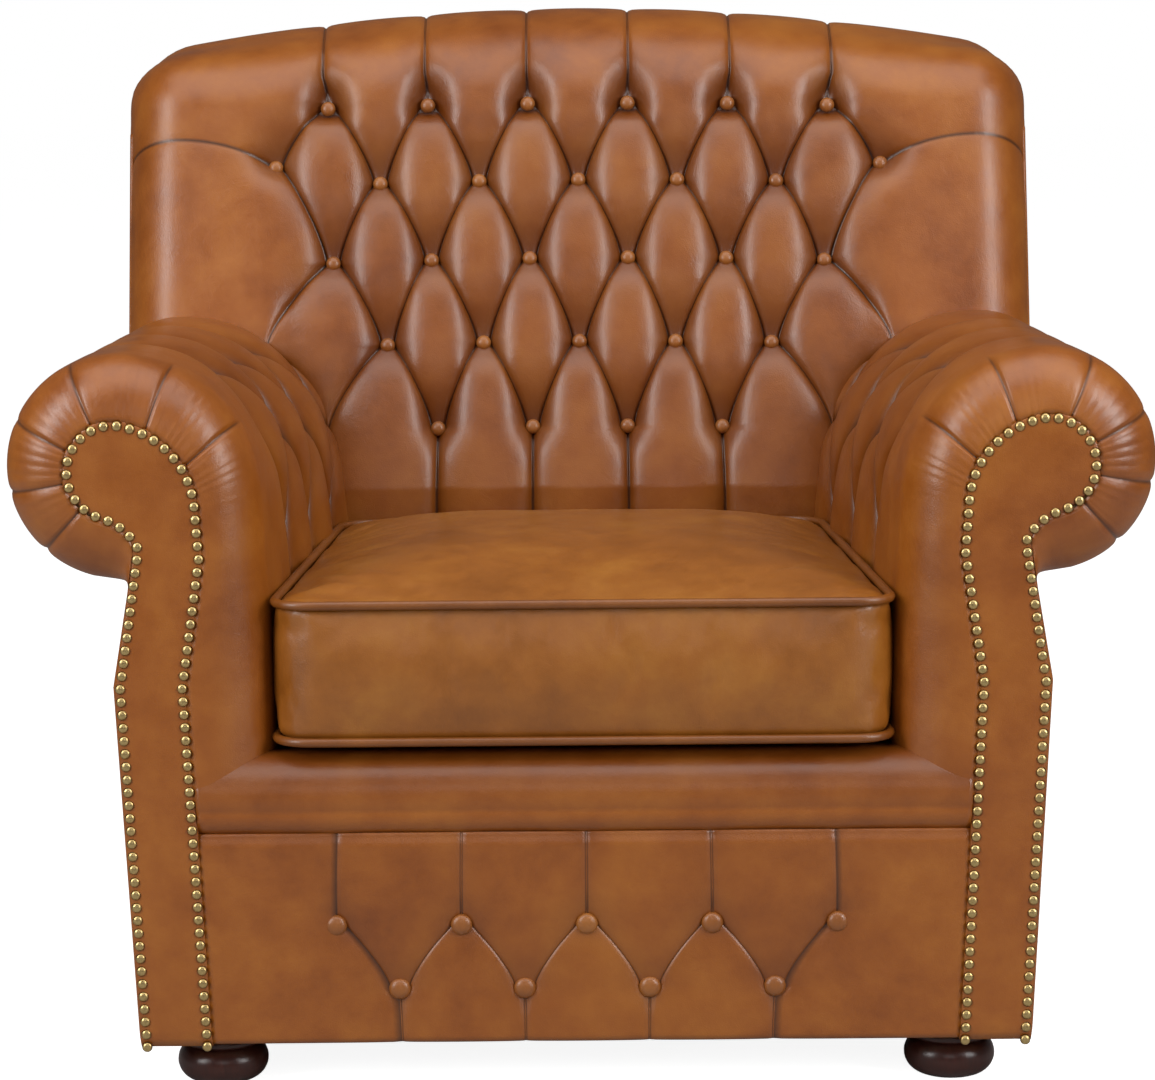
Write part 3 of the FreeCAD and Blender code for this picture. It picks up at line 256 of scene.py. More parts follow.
def fold_line(waypoints):
    """A pleat from button to button, each stretch leaving sideways and arriving upright. Waypoints
    run from the top down as (across, length, bend). Returns both as arrays, from the bottom up."""
    t = np.linspace(0.0, 1.0, 25)[1:]
    weights = ((1 - t) ** 3, 3 * (1 - t) ** 2 * t, 3 * (1 - t) * t ** 2, t ** 3)
    across = [np.array([waypoints[0][0]])]
    length = [np.array([waypoints[0][1]])]
    for (x0, v0, kind), (x3, v3, _) in zip(waypoints, waypoints[1:]):
        lean_out, drop_out, lean_in, drop_in = FOLD_BEND[kind]
        x1, v1 = x0 + (x3 - x0) * lean_out, v0 + (v3 - v0) * drop_out
        x2, v2 = x0 + (x3 - x0) * lean_in, v0 + (v3 - v0) * drop_in
        across.append(sum(weight * x for weight, x in zip(weights, (x0, x1, x2, x3))))
        length.append(sum(weight * v for weight, v in zip(weights, (v0, v1, v2, v3))))
    return np.concatenate(across)[::-1], np.concatenate(length)[::-1]


def strands_at(rows, pleats):
    """Where each pleat crosses each row of the pattern, with one column to a pleat."""
    crossings = []
    for waypoints in pleats:
        across, length = fold_line(waypoints)
        crossings.append(np.interp(rows, length, across))
    return np.array(crossings).T


def puff(pattern, pinned, reach):
    """How far the stuffing pushes the hide up, from 0 at the pinned folds to 1 far from them. It is
    the height of a sheet under even pressure on springs, solved over the flat pattern."""
    rows, columns = pinned.shape
    a, b = pattern[:-1, :-1], pattern[:-1, 1:]
    c, d = pattern[1:, 1:], pattern[1:, :-1]

    def cotangent(p, q, apex):
        u, w = p - apex, q - apex
        area = np.abs(u[..., 0] * w[..., 1] - u[..., 1] * w[..., 0])
        return np.clip(0.5 * (u * w).sum(-1) / np.maximum(area, 1e-3), 0.0, 40.0)

    along = np.zeros((rows, columns - 1))
    along[:-1] += cotangent(a, b, c)
    along[1:] += cotangent(d, c, a)
    up = np.zeros((rows - 1, columns))
    up[:, 1:] += cotangent(b, c, a)
    up[:, :-1] += cotangent(a, d, c)
    slant = cotangent(a, c, b) + cotangent(a, c, d)
    cell = 0.5 * np.abs((c - a)[..., 0] * (d - b)[..., 1] - (c - a)[..., 1] * (d - b)[..., 0])
    area = np.zeros((rows, columns))
    for rs, cs in ((slice(0, -1), slice(0, -1)), (slice(0, -1), slice(1, None)),
                   (slice(1, None), slice(0, -1)), (slice(1, None), slice(1, None))):
        area[rs, cs] += cell / 4
    spring = area / reach ** 2 + 1e-6
    total = spring.copy()
    total[:, :-1] += along
    total[:, 1:] += along
    total[:-1] += up
    total[1:] += up
    total[:-1, :-1] += slant
    total[1:, 1:] += slant
    free = ~pinned

    def apply(u):
        out = total * u
        out[:, :-1] -= along * u[:, 1:]
        out[:, 1:] -= along * u[:, :-1]
        out[:-1] -= up * u[1:]
        out[1:] -= up * u[:-1]
        out[:-1, :-1] -= slant * u[1:, 1:]
        out[1:, 1:] -= slant * u[:-1, :-1]
        return out * free

    height = free.astype(float)
    rest = (spring - apply(height)) * free
    scaled = rest / total
    step = scaled.copy()
    size = (rest * scaled).sum()
    first = size
    for _ in range(600):
        moved = apply(step)
        amount = size / max((step * moved).sum(), 1e-30)
        height += amount * step
        rest -= amount * moved
        scaled = rest / total
        new_size = (rest * scaled).sum()
        if new_size < first * 1e-10:
            break
        step = scaled + step * (new_size / size)
        size = new_size
    return np.clip(height, 0.0, 1.0)


def grid_faces(rows, columns, closed=False):
    """Quads of a grid of points. A closed grid joins its last column to its first."""
    index = np.arange(rows * columns).reshape(rows, columns)
    if closed:
        index = np.concatenate([index, index[:, :1]], 1)
    return np.stack([index[:-1, :-1], index[:-1, 1:], index[1:, 1:], index[1:, :-1]], -1).reshape(-1, 4)


def closed_form(rings):
    """Points and faces of a form made of rings of points, one to a row, closed at both ends."""
    rows, count = rings.shape[:2]
    faces = [tuple(f) for f in grid_faces(rows, count, closed=True)]
    faces.append(tuple(range(count))[::-1])
    faces.append(tuple(range((rows - 1) * count, rows * count)))
    return rings.reshape(-1, 3), faces


def ring_mark(values, hidden):
    """A mark for each point of such rings, with nothing on the hidden columns at their end."""
    return np.pad(values, ((0, 0), (0, hidden))).reshape(-1)


def add_piece(name, points, faces, material, body, slot, marks=None):
    """A smooth mesh piece from points in millimetres, with its faces turned outward. marks are
    named values kept at each point."""
    mesh = bpy.data.meshes.new(name)
    mesh.from_pydata((np.asarray(points) / 1000).tolist(), [], [list(map(int, f)) for f in faces])
    mesh.calc_loop_triangles()
    corners = np.empty(len(mesh.loop_triangles) * 3, np.int32)
    mesh.loop_triangles.foreach_get("vertices", corners)
    a, b, c = np.asarray(points, float)[corners.reshape(-1, 3)].transpose(1, 0, 2)
    if np.sum(a * np.cross(b, c)) < 0:
        mesh.flip_normals()
    mesh.polygons.foreach_set("use_smooth", [True] * len(mesh.polygons))
    for mark, values in (marks or {}).items():
        mesh.attributes.new(mark, "FLOAT", "POINT").data.foreach_set("value", np.asarray(values, np.float32))
    mesh.materials.append(material)
    piece = bpy.data.objects.new(name, mesh)
    bpy.context.scene.collection.objects.link(piece)
    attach(piece, body)
    return piece


def cosine_shares(count):
    """Shares from 0 to 1, closer together at both ends."""
    return (1 - np.cos(np.linspace(0.0, math.pi, count + 1))) / 2


def pillow_columns(strands, count):
    """Columns of a pattern from its first pleat to its last, count of them to a pillow."""
    columns = []
    for left, right in zip(strands.T, strands.T[1:]):
        columns += [left + (right - left) * share for share in cosine_shares(count)[1:]]
    return columns


def strand_gap(across, strands):
    """Distance from each point of a pattern to the nearest pleat."""
    return np.min([np.abs(across - strand[:, None]) for strand in strands.T], axis=0)


def button_gap(across, length, buttons, above=1.0, below=1.0):
    """Distance from each point of a pattern to the nearest button. above and below stretch the
    reach of a button up and down the hide."""
    gaps = []
    for x, v in buttons:
        rise = length - v
        gaps.append(np.hypot(across - x, rise / np.where(rise > 0, above, below)))
    return np.min(gaps, axis=0)


def dimpled(fold_depth, button_depth, gap, reach):
    """Depth of the folds, which sink to the depth of a button within reach of it."""
    return fold_depth + (button_depth - fold_depth) * np.exp(-(gap / reach) ** 2)


# Leather figures in millimetres: oil blotches, the cloudy dye, the wrinkles and the pebble, which
# is drawn a little coarser than on a real hide so that it shows.
BLOTCH_SIZE = 150.0
CLOUD_SIZE = 38.0
WRINKLE_SIZE = 16.0
PEBBLE_SIZE = 1.9
# Dark of the painted shade line along the creases.
CREASE_SHADE_COLOUR = "#2C1304"


def leather_hide(name, pale, tan, brown, fold_brown, gloss):
    """Aniline pull-up leather: blotchy where the oil has moved, with a fine pebble and a waxy,
    half-gloss finish. It is darker the deeper it sinks and paler where it is pulled tight, partly
    as dye left in the folds and partly as painted shade; its creases carry a line of painted shade."""
    material = new_material(name)
    tree = material.node_tree
    place = add_node(tree, "ShaderNodeTexCoord")
    blotch = add_node(tree, "ShaderNodeTexNoise", {}, {
        "Vector": place.outputs["Object"], "Scale": 1000 / BLOTCH_SIZE, "Detail": 5.0, "Roughness": 0.6,
        "Distortion": 0.5})
    cloudy = add_node(tree, "ShaderNodeTexNoise", {}, {
        "Vector": place.outputs["Object"], "Scale": 1000 / CLOUD_SIZE, "Detail": 4.0, "Roughness": 0.62})
    tint = add_node(tree, "ShaderNodeMix", {"data_type": "FLOAT"}, {
        0: 0.42, 2: blotch.outputs["Fac"], 3: cloudy.outputs["Fac"]})
    ramp = add_node(tree, "ShaderNodeValToRGB", {}, {"Fac": tint.outputs[0]})
    ramp.color_ramp.elements[0].position = 0.26
    ramp.color_ramp.elements[0].color = linear(brown)
    ramp.color_ramp.elements[1].position = 0.76
    ramp.color_ramp.elements[1].color = linear(pale)
    ramp.color_ramp.elements.new(0.49).color = linear(tan)
    # Darker the deeper the hide sinks: partly dye left in the folds, partly painted shade.
    hollow = add_node(tree, "ShaderNodeAttribute", {"attribute_name": "hollow"})
    hollow_darkening = add_node(tree, "ShaderNodeMath", {"operation": "MULTIPLY"}, {0: hollow.outputs["Fac"], 1: 0.85})
    fold_dye_and_shade = add_node(tree, "ShaderNodeMix", {"data_type": "RGBA"}, {
        0: hollow_darkening.outputs[0], 6: ramp.outputs["Color"], 7: linear(fold_brown)})
    # Painted shade: a dark line along the creases of the folds.
    crease = add_node(tree, "ShaderNodeAttribute", {"attribute_name": "crease"})
    line = add_node(tree, "ShaderNodeMath", {"operation": "MULTIPLY"}, {0: crease.outputs["Fac"], 1: 0.85})
    colour = add_node(tree, "ShaderNodeMix", {"data_type": "RGBA"}, {
        0: line.outputs[0], 6: fold_dye_and_shade.outputs[2], 7: linear(CREASE_SHADE_COLOUR)})
    pebble = add_node(tree, "ShaderNodeTexVoronoi", {"feature": "DISTANCE_TO_EDGE"}, {
        "Vector": place.outputs["Object"], "Scale": 1000 / PEBBLE_SIZE, "Randomness": 1.0})
    pebble_cap = add_node(tree, "ShaderNodeMath", {"operation": "MINIMUM"}, {
        0: pebble.outputs["Distance"], 1: 0.28})
    stretch = add_node(tree, "ShaderNodeTexNoise", {}, {
        "Vector": place.outputs["Object"], "Scale": 1000 / WRINKLE_SIZE, "Detail": 6.0, "Roughness": 0.68,
        "Distortion": 1.2})
    relief = add_node(tree, "ShaderNodeMath", {"operation": "MULTIPLY_ADD"}, {
        0: pebble_cap.outputs[0], 1: 0.55, 2: stretch.outputs["Fac"]})
    bump = add_node(tree, "ShaderNodeBump", {}, {
        "Height": relief.outputs[0], "Strength": 0.32, "Distance": 0.0012})
    rough = add_node(tree, "ShaderNodeMapRange", {}, {
        "Value": cloudy.outputs["Fac"], "From Min": 0.3, "From Max": 0.7, "To Min": gloss - 0.05,
        "To Max": gloss + 0.07})
    shader = add_node(tree, "ShaderNodeBsdfPrincipled", {}, {
        "Base Color": colour.outputs[2], "Roughness": rough.outputs[0], "Normal": bump.outputs[0],
        "IOR": 1.5, "Specular IOR Level": 0.55, "Coat Weight": 0.2, "Coat Roughness": 0.26})
    add_node(tree, "ShaderNodeOutputMaterial", {}, {"Surface": shader.outputs[0]})
    return material


cover_leather = leather_hide("tan_pull_up_leather", "#A9651B", "#924F10", "#743706", "#4E2003", 0.36)

# Rows of the hide, from the seat up, over the roll and down behind it.
roll_length = math.radians(180 + ROLL_TUCK) * ROLL_REACH - BACK_RAKE * ROLL_REACH
hidden_rows = np.linspace(float(BACK_BOTTOM_Z - LEAN_START), -45.0, 10)
face_rows = np.linspace(-42.0, ROLL_START, 150)
roll_rows = ROLL_START + np.linspace(3.0, roll_length, 125)
back_rows = np.concatenate([hidden_rows, face_rows, roll_rows])
button_at = {}
for row, (row_z, step, reach) in enumerate(zip(BACK_ROWS_Z, BACK_COLUMN_STEP, BACK_ROW_REACH)):
    for column in range(-reach, reach + 1, 2):
        outer = abs(column) == 6
        button_z = row_z + (OUTER_BUTTON_RISE if outer else BACK_ROW_CROWN * (1 - (column / 5) ** 2))
        x = column * (step + (1.0 if outer else 0.0))
        button_at[(column, row)] = (x, float(face_length(button_z)))


def back_strand(index):
    """Waypoints of one pleat, which runs between two neighbouring columns of buttons."""
    left, right = index - 6, index - 5
    last_row = len(BACK_ROWS_Z) - 1
    points = []
    for row, row_z in enumerate(BACK_ROWS_Z):
        column = left if (left % 2 == 0) == (row % 2 == 1) else right
        side = 1 if column == left else -1
        if (column, row) in button_at:
            x, v = button_at[(column, row)]
            if row == 0:
                points.append((x * ROLL_SPREAD + side * PLEAT_HALF, back_rows[-1], "pleat"))
                points.append((x * PLEAT_SPREAD + side * PLEAT_HALF, v + 40.0, "pleat"))
                points.append((x + side * PLEAT_MOUTH, v + 7.0, "pleat"))
            points.append((x + side * FLANK, v, "fold"))
            if row == last_row:
                points.append((x + side * PLEAT_MOUTH, v - 7.0, "pleat"))
                points.append((x * PLEAT_SPREAD + side * PLEAT_HALF, back_rows[0], "pleat"))
        else:
            x = math.copysign(abs(column) * OPEN_PLEAT_STEP + OPEN_PLEAT_OUT[row], column)
            points.append((x, float(face_length(row_z)), "fold"))
            if row == last_row:
                points.append((x, back_rows[0], "pleat"))
    return points


STRAND_COUNT = 12
PILLOW_COLUMNS = 14
WING_COLUMNS = 26
strands = strands_at(back_rows, [back_strand(index) for index in range(STRAND_COUNT)])
edge_reach = BACK_HALF - BACK_SIDE_RADIUS + BACK_SIDE_RADIUS * math.pi / 2
edge_shares = np.concatenate([[0.0, 0.01, 0.03], np.linspace(0.06, 1.0, WING_COLUMNS - 2)])
columns = [strands[:, 0] + (-edge_reach - strands[:, 0]) * share for share in edge_shares[::-1]]
columns += pillow_columns(strands, PILLOW_COLUMNS)
columns += [strands[:, -1] + (edge_reach - strands[:, -1]) * share for share in edge_shares[1:]]
pattern_x = np.array(columns).T
pattern_v = np.repeat(back_rows[:, None], pattern_x.shape[1], 1)

# The side pleat from each outer button to the edge of the wing: rows bend to follow it.
outer_x, outer_v = button_at[(6, 1)]
side_row = int(np.argmin(np.abs(back_rows - outer_v)))
beyond = np.clip((np.abs(pattern_x) - outer_x) / (edge_reach - outer_x), 0.0, 1.0)
side_curve = outer_v + SIDE_PLEAT_ARCH * beyond * (1 - beyond) + SIDE_PLEAT_RISE * beyond
pull = np.exp(-((pattern_v - back_rows[side_row]) / SIDE_PLEAT_PULL) ** 2)
in_wing = smooth_step(np.abs(pattern_x), outer_x - 8.0, outer_x + 6.0)
pattern_v = pattern_v + pull * in_wing * (side_curve - back_rows[side_row])

# Pillows between the pleats, a dimple at every button, which is a deeper cup in the top row, and a
# sharp notch along every pleat.
pinned = np.zeros(pattern_x.shape, bool)
pinned[:, WING_COLUMNS + PILLOW_COLUMNS * np.arange(STRAND_COUNT)] = True
pinned[side_row] |= np.abs(pattern_x[side_row]) > outer_x
pillow = puff(np.stack([pattern_x, pattern_v], -1), pinned, PILLOW_REACH)
nearest = button_gap(pattern_x, pattern_v, button_at.values(), above=1.9, below=0.85)
below_roll = 1 - smooth_step(pattern_v, ROLL_START - 5.0, ROLL_START + 55.0)
inside_wings = 1 - smooth_step(np.abs(pattern_x), 300.0, 330.0)
fold_depth = ROLL_PLEAT_DEPTH + (BACK_FOLD_DEPTH - ROLL_PLEAT_DEPTH) * below_roll * inside_wings
depth = dimpled(fold_depth, BACK_BUTTON_DEPTH, nearest, DIMPLE_REACH)
top_row = smooth_step(pattern_v, ROLL_START - 40.0, ROLL_START - 5.0)
cup = CUP_DEPTH * np.exp(-(nearest / CUP_REACH) ** 2) * top_row
notch = NOTCH_DEPTH * np.exp(-strand_gap(pattern_x, strands) / NOTCH_WIDTH)
lift = -depth * (1 - pillow ** PILLOW_FULLNESS) - notch
lift = np.maximum(lift - cup, -BACK_BUTTON_DEPTH - NOTCH_DEPTH) - 2.0 * np.exp(-(nearest / 16.0) ** 2)
front = back_point(pattern_x, pattern_v, lift)

# Rear of the same hide, against the foam: a few plain columns that close the form. Low down the
# sides are drawn in, so that they stay hidden between the arms.
BACK_REAR_COLUMNS = 10
rear_shares = np.linspace(1.0, -1.0, BACK_REAR_COLUMNS)
rear_y, rear_z, rear_dy, rear_dz, rear_drop = back_frame(back_rows)
rear_sink = BACK_PADDING + rear_drop[:, None] * rear_shares[None, :] ** 2
rear = np.stack([
    np.repeat(rear_shares[None, :] * (BACK_HALF - 4.0), len(back_rows), 0),
    rear_y[:, None] - rear_dy[:, None] * rear_sink, rear_z[:, None] - rear_dz[:, None] * rear_sink], -1)
ring = np.concatenate([front, rear], 1)
past_arm = np.maximum(np.abs(ring[..., 0]) - WING_FROM_X, 0.0)
narrowed = WING_LEAST + (1 - WING_LEAST) * smooth_step(ring[..., 2], *WING_OPENS_Z)
ring[..., 0] = np.sign(ring[..., 0]) * (np.abs(ring[..., 0]) - past_arm * (1 - narrowed))
# The crease mark paints a line of shade along every pleat. The hollow mark darkens the hide the deeper it
# sinks, partly as dye left in the folds and partly as painted shade.
inside_back = add_piece("inside_back", *closed_form(ring), cover_leather, "chair", "cover_leather", {
    "crease": ring_mark(np.where(pinned, 1.0, 0.0), BACK_REAR_COLUMNS),
    "hollow": ring_mark(np.clip(-lift / BACK_BUTTON_DEPTH, 0.0, 1.0), BACK_REAR_COLUMNS)})
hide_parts("inside_back_cover", "back_pad")

# Covered buttons of the back: domed metal forms covered in the same hide and pulled deep into the
# foam by twine. Stretched tight over its form, the leather is even in colour.
BUTTON_HEIGHT = 6.5
BUTTON_STAND = 2.0  # how far a button stands off the bottom of its tuft
button_leather = leather_hide("button_leather", "#A5682A", "#905420", "#7A4315", "#5E300C", 0.36)


def turned(profile, centre, axis, sides):
    """Points and faces of a closed turned form. profile is (radius, height) along the axis."""
    axis = np.asarray(axis, float) / np.linalg.norm(axis)
    helper = np.array([0.0, 0.0, 1.0]) if abs(axis[2]) < 0.9 else np.array([1.0, 0.0, 0.0])
    first = np.cross(helper, axis)
    first /= np.linalg.norm(first)
    second = np.cross(axis, first)
    angles = np.linspace(0.0, 2 * math.pi, sides, endpoint=False)
    rings = [np.asarray(centre) + axis * height
             + radius * (np.cos(angles)[:, None] * first + np.sin(angles)[:, None] * second)
             for radius, height in profile]
    return closed_form(np.array(rings))


def gather_forms(forms):
    """Several forms as one list of points and one of faces."""
    points, faces, count = [], [], 0
    for form_points, form_faces in forms:
        points.append(form_points)
        faces += [tuple(i + count for i in face) for face in form_faces]
        count += len(form_points)
    return np.concatenate(points), faces


def button_form(centre, axis, radius, height):
    """A low dome with a soft shoulder, turned in at its back."""
    steps = np.linspace(0.0, math.pi / 2, 9)[:-1]
    profile = [(radius * 0.86, -2.0), (radius * 0.97, -0.9)]
    profile += [(radius * math.cos(t) ** 0.85, height * math.sin(t)) for t in steps]
    profile.append((radius * 0.06, height))
    return turned(profile, centre, axis, 28)


forms = []
for x, v in button_at.values():
    _, _, direction_y, direction_z, _ = back_frame(np.array(v))
    seat = back_point(np.array(x), np.array(v), np.array(-BACK_BUTTON_DEPTH + BUTTON_STAND))
    axis = (0.0, float(direction_y), float(direction_z))
    forms.append(button_form(seat, axis, BUTTON_RADIUS, BUTTON_HEIGHT))
buttons = add_piece("back_tuft_buttons", *gather_forms(forms), button_leather, "chair", "button_leather")
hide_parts("back_buttons")

# Arms: a padded roll on a scroll-shaped core, dressed in one hide per arm. Three rows of buttons
# draw it in on the inside and over the shoulder; the front edge turns in round the scroll in
# short pleats, and is held there by the facing.
FACING_Y = -446.3
ARM_INNER_FRONT = 285.0
ARM_INNER_REAR = 237.0
SHOULDER_FRONT_Z = 545.0
SHOULDER_REAR_Z = 505.0
SCROLL = (412.0, 567.0)
SCROLL_RADIUS = 47.0
ROLL_RADIUS_FRONT = 103.0
ROLL_RADIUS_REAR = 93.0
ROLL_SWEEP = math.radians(75.0)
ARM_BOTTOM = 268.0
NECK = (403.0, 464.0)
RIM_DEPTH = 51.0
ARM_REAR_Y = 280.0
POST_RAKE = 0.18
RAKE_START = 300.0
ARM_FIRST_BUTTON_Y = -290.0
ARM_HALF_PITCH = 65.0
ARM_ROWS_S = (0.73, 1.27, 1.70)
ARM_BUTTON_DEPTH = 23.0
ARM_FOLD_DEPTH = 16.0
ARM_PLEAT_DEPTH = 2.2
ARM_PILLOW_REACH = 26.0
ARM_DIMPLE_REACH = 24.0
CORE_FOOT = (347.0, 268.0)
KNEE_INNER = (352.0, 373.0)
NECK_INNER = (334.5, 489.0)
NECK_OUTER = (397.5, 499.0)
KNEE_OUTER = (416.9, 373.0)
BROW = (337.3, 534.0)
FACING_SHOULDER = (363.5, 591.5)
RIM_PLEATS = (-47.0, -12.0, 25.0, 65.0, 118.0, 160.0)
RIM_NOTCH_DEPTH = 3.2
RIM_NOTCH_WIDTH = 3.0
SIDES = ((1, "right"), (-1, "left"))


def three_point_arc(a, b, c, share):
    """Places at shares of the arc through three points (arrays of x, z)."""
    ax, az, bx, bz, cx, cz = a[..., 0], a[..., 1], b[..., 0], b[..., 1], c[..., 0], c[..., 1]
    d = 2 * (ax * (bz - cz) + bx * (cz - az) + cx * (az - bz))
    a2, b2, c2 = ax ** 2 + az ** 2, bx ** 2 + bz ** 2, cx ** 2 + cz ** 2
    centre_x = (a2 * (bz - cz) + b2 * (cz - az) + c2 * (az - bz)) / d
    centre_z = (a2 * (cx - bx) + b2 * (ax - cx) + c2 * (bx - ax)) / d
    radius = np.hypot(ax - centre_x, az - centre_z)
    start = np.arctan2(az - centre_z, ax - centre_x)
    middle = np.arctan2(bz - centre_z, bx - centre_x)
    end = np.arctan2(cz - centre_z, cx - centre_x)
    full = 2 * math.pi
    forward = (middle - start) % full <= (end - start) % full
    sweep = np.where(forward, (end - start) % full, -((start - end) % full))
    angle = start + sweep * share
    return np.stack([centre_x + radius * np.cos(angle), centre_z + radius * np.sin(angle)], -1)


def pair(x, z):
    """Places from two values or two arrays of values."""
    x, z = np.broadcast_arrays(np.asarray(x, float), np.asarray(z, float))
    return np.stack([x, z], -1)


def blend(a, b, share):
    """Places on the way from a to b, at each share of it."""
    return a + (b - a) * np.asarray(share)[..., None]


def run_along(line):
    """Distance along a line of places to each of them."""
    return np.concatenate([[0.0], np.cumsum(np.linalg.norm(np.diff(line, axis=0), axis=1))])


def post_line_y(z):
    """Rear of the frame at a height: upright at first, then raked like the back posts."""
    return ARM_REAR_Y + np.maximum(z - RAKE_START, 0.0) * POST_RAKE


def facing_outline(s, margin):
    """Edge of the facing, drawn in by margin. s counts as in arm_section."""
    radius = SCROLL_RADIUS - margin
    top = pair(SCROLL[0], SCROLL[1] + radius)
    side = pair(SCROLL[0] + radius, SCROLL[1])
    under = pair(SCROLL[0] + radius * math.cos(ROLL_SWEEP), SCROLL[1] - radius * math.sin(ROLL_SWEEP))
    brow = pair(BROW[0] + margin, BROW[1])
    shoulder = pair(FACING_SHOULDER[0] + margin * 0.8, FACING_SHOULDER[1] - margin * 0.6)
    neck_outer = pair(NECK_OUTER[0] - margin, NECK_OUTER[1])
    hollow = blend(under, neck_outer, np.array(0.55)) + pair(-3, 3)
    legs = np.array([(CORE_FOOT[0], CORE_FOOT[1]), KNEE_INNER, NECK_INNER, BROW]) + (margin, 0.0)
    runs = run_along(legs)
    along = np.clip(s, 0.0, 1.0) * runs[-1]
    leg = pair(np.interp(along, runs, legs[:, 0]), np.interp(along, runs, legs[:, 1]))
    outer_legs = np.array([NECK_OUTER, KNEE_OUTER]) - (margin, 0.0)
    parts = [leg, three_point_arc(brow, shoulder, top, np.clip(s - 1, 0.0, 1.0)),
             three_point_arc(top, side, under, np.clip(s - 2, 0.0, 1.0)),
             three_point_arc(under, hollow, neck_outer, np.clip((s - 3) / 0.6, 0.0, 1.0)),
             blend(outer_legs[0], outer_legs[1], np.clip((s - 3.6) / 0.4, 0.0, 1.0) * 0.28)]
    span = np.clip(np.floor(s), 0, 3) + (s > 3.6)
    return sum(np.where((span == k)[..., None], part, 0.0) for k, part in enumerate(parts))


def arm_section(y, s, rim):
    """Section of the right arm at y. s runs 0 to 1 up the inside, 1 to 2 over the shoulder to the
    top, 2 to 3 round the roll and 3 to 4 under it. rim draws it in to the scroll of the facing."""
    along = np.clip((y - FACING_Y) / (BACK_FACE_Y - FACING_Y), 0.0, 1.0)
    inner = ARM_INNER_FRONT + (ARM_INNER_REAR - ARM_INNER_FRONT) * along
    radius = ROLL_RADIUS_FRONT + (ROLL_RADIUS_REAR - ROLL_RADIUS_FRONT) * along
    shoulder_z = SHOULDER_FRONT_Z + (SHOULDER_REAR_Z - SHOULDER_FRONT_Z) * along
    shoulder = pair(inner + 6, shoulder_z)
    top = pair(SCROLL[0], SCROLL[1] + radius)
    chord = np.linalg.norm(top - shoulder, axis=-1)
    over = blend(shoulder, top, np.full(chord.shape, 0.5)) + pair(-0.66, 0.75) * (0.2 * chord)[..., None]
    under = pair(SCROLL[0] + radius * math.cos(ROLL_SWEEP), SCROLL[1] - radius * math.sin(ROLL_SWEEP))
    foot = pair(inner, ARM_BOTTOM)
    low = pair(inner + 0.8, (ARM_BOTTOM + shoulder_z) / 2)
    side = pair(SCROLL[0] + radius, SCROLL[1])
    hollow = pair(SCROLL[0] + 6, NECK[1] + 1.5)
    neck = pair(*NECK)
    keys = [foot, low, shoulder, over, top, side, under, hollow, neck]
    parts = [three_point_arc(keys[k], keys[k + 1], keys[k + 2], np.clip(s - k / 2, 0.0, 1.0))
             for k in (0, 2, 4, 6)]
    span = np.clip(np.floor(s), 0, 3)
    place = sum(np.where((span == k)[..., None], part, 0.0) for k, part in enumerate(parts))
    place = blend(place, facing_outline(s, 0.0), rim)
    return place[..., 0], place[..., 1]


def share_of_angle(angle):
    """Where round the front of the roll, as s, the direction at an angle about the scroll lies."""
    s = np.linspace(1.0, 3.0, 401)
    x, z = arm_section(np.full(401, FACING_Y + RIM_DEPTH), s, np.zeros(401))
    seen = np.degrees(np.arctan2(z - SCROLL[1], x - SCROLL[0]))
    seen = np.where(seen < -100, seen + 360, seen)
    return float(np.interp(-angle, -seen, s))


rim_shares = [share_of_angle(angle) for angle in RIM_PLEATS]

# Rows run round the girth, closer together at the pleats of the rim.
girth = np.concatenate([np.linspace(0.0, 1.0, 70), np.linspace(1.0, 2.0, 66)[1:],
                        np.linspace(2.0, 3.0, 74)[1:], np.linspace(3.0, 4.0, 14)[1:]])
for share in rim_shares:
    girth = girth[np.abs(girth - share) > 0.02]
    girth = np.concatenate([girth, share + np.array([-0.02, -0.009, 0.0, 0.009, 0.02])])
girth = np.sort(girth)
mid_x, mid_z = arm_section(np.full(len(girth), -150.0), girth, np.zeros(len(girth)))
girth_length = run_along(np.stack([mid_x, mid_z], -1))


def length_at(share):
    return float(np.interp(share, girth, girth_length))


arm_buttons_at = {}
for column in range(7):
    for row in ((1,) if column % 2 == 0 else (0, 2)):
        place_y = ARM_FIRST_BUTTON_Y + ARM_HALF_PITCH * column
        arm_buttons_at[(column, row)] = (place_y, length_at(ARM_ROWS_S[row]))


def arm_strand(index):
    """Waypoints of one pleat of the arm, from the underside of the roll down to the seat."""
    points = []
    for row in (2, 1, 0):
        column = index if (index % 2 == 0) == (row == 1) else index + 1
        side = 1 if column == index else -1
        y = ARM_FIRST_BUTTON_Y + ARM_HALF_PITCH * column
        v = length_at(ARM_ROWS_S[row])
        flank = FLANK if (column, row) in arm_buttons_at else 2.0
        if row == 2:
            points.append((y - 25.0 + side * PLEAT_HALF, girth_length[-1], "pleat"))
            points.append((y - 12.0 + side * PLEAT_HALF, v + 60.0, "pleat"))
            points.append((y + side * PLEAT_MOUTH, v + 13.0, "pleat"))
        points.append((y + side * flank, v, "fold"))
        if row == 0:
            points.append((y + side * PLEAT_MOUTH, v - 14.0, "pleat"))
            points.append((y + 3.0 + side * PLEAT_HALF, 0.0, "pleat"))
    return points


arm_strands = strands_at(girth_length, [arm_strand(index) for index in range(7)])

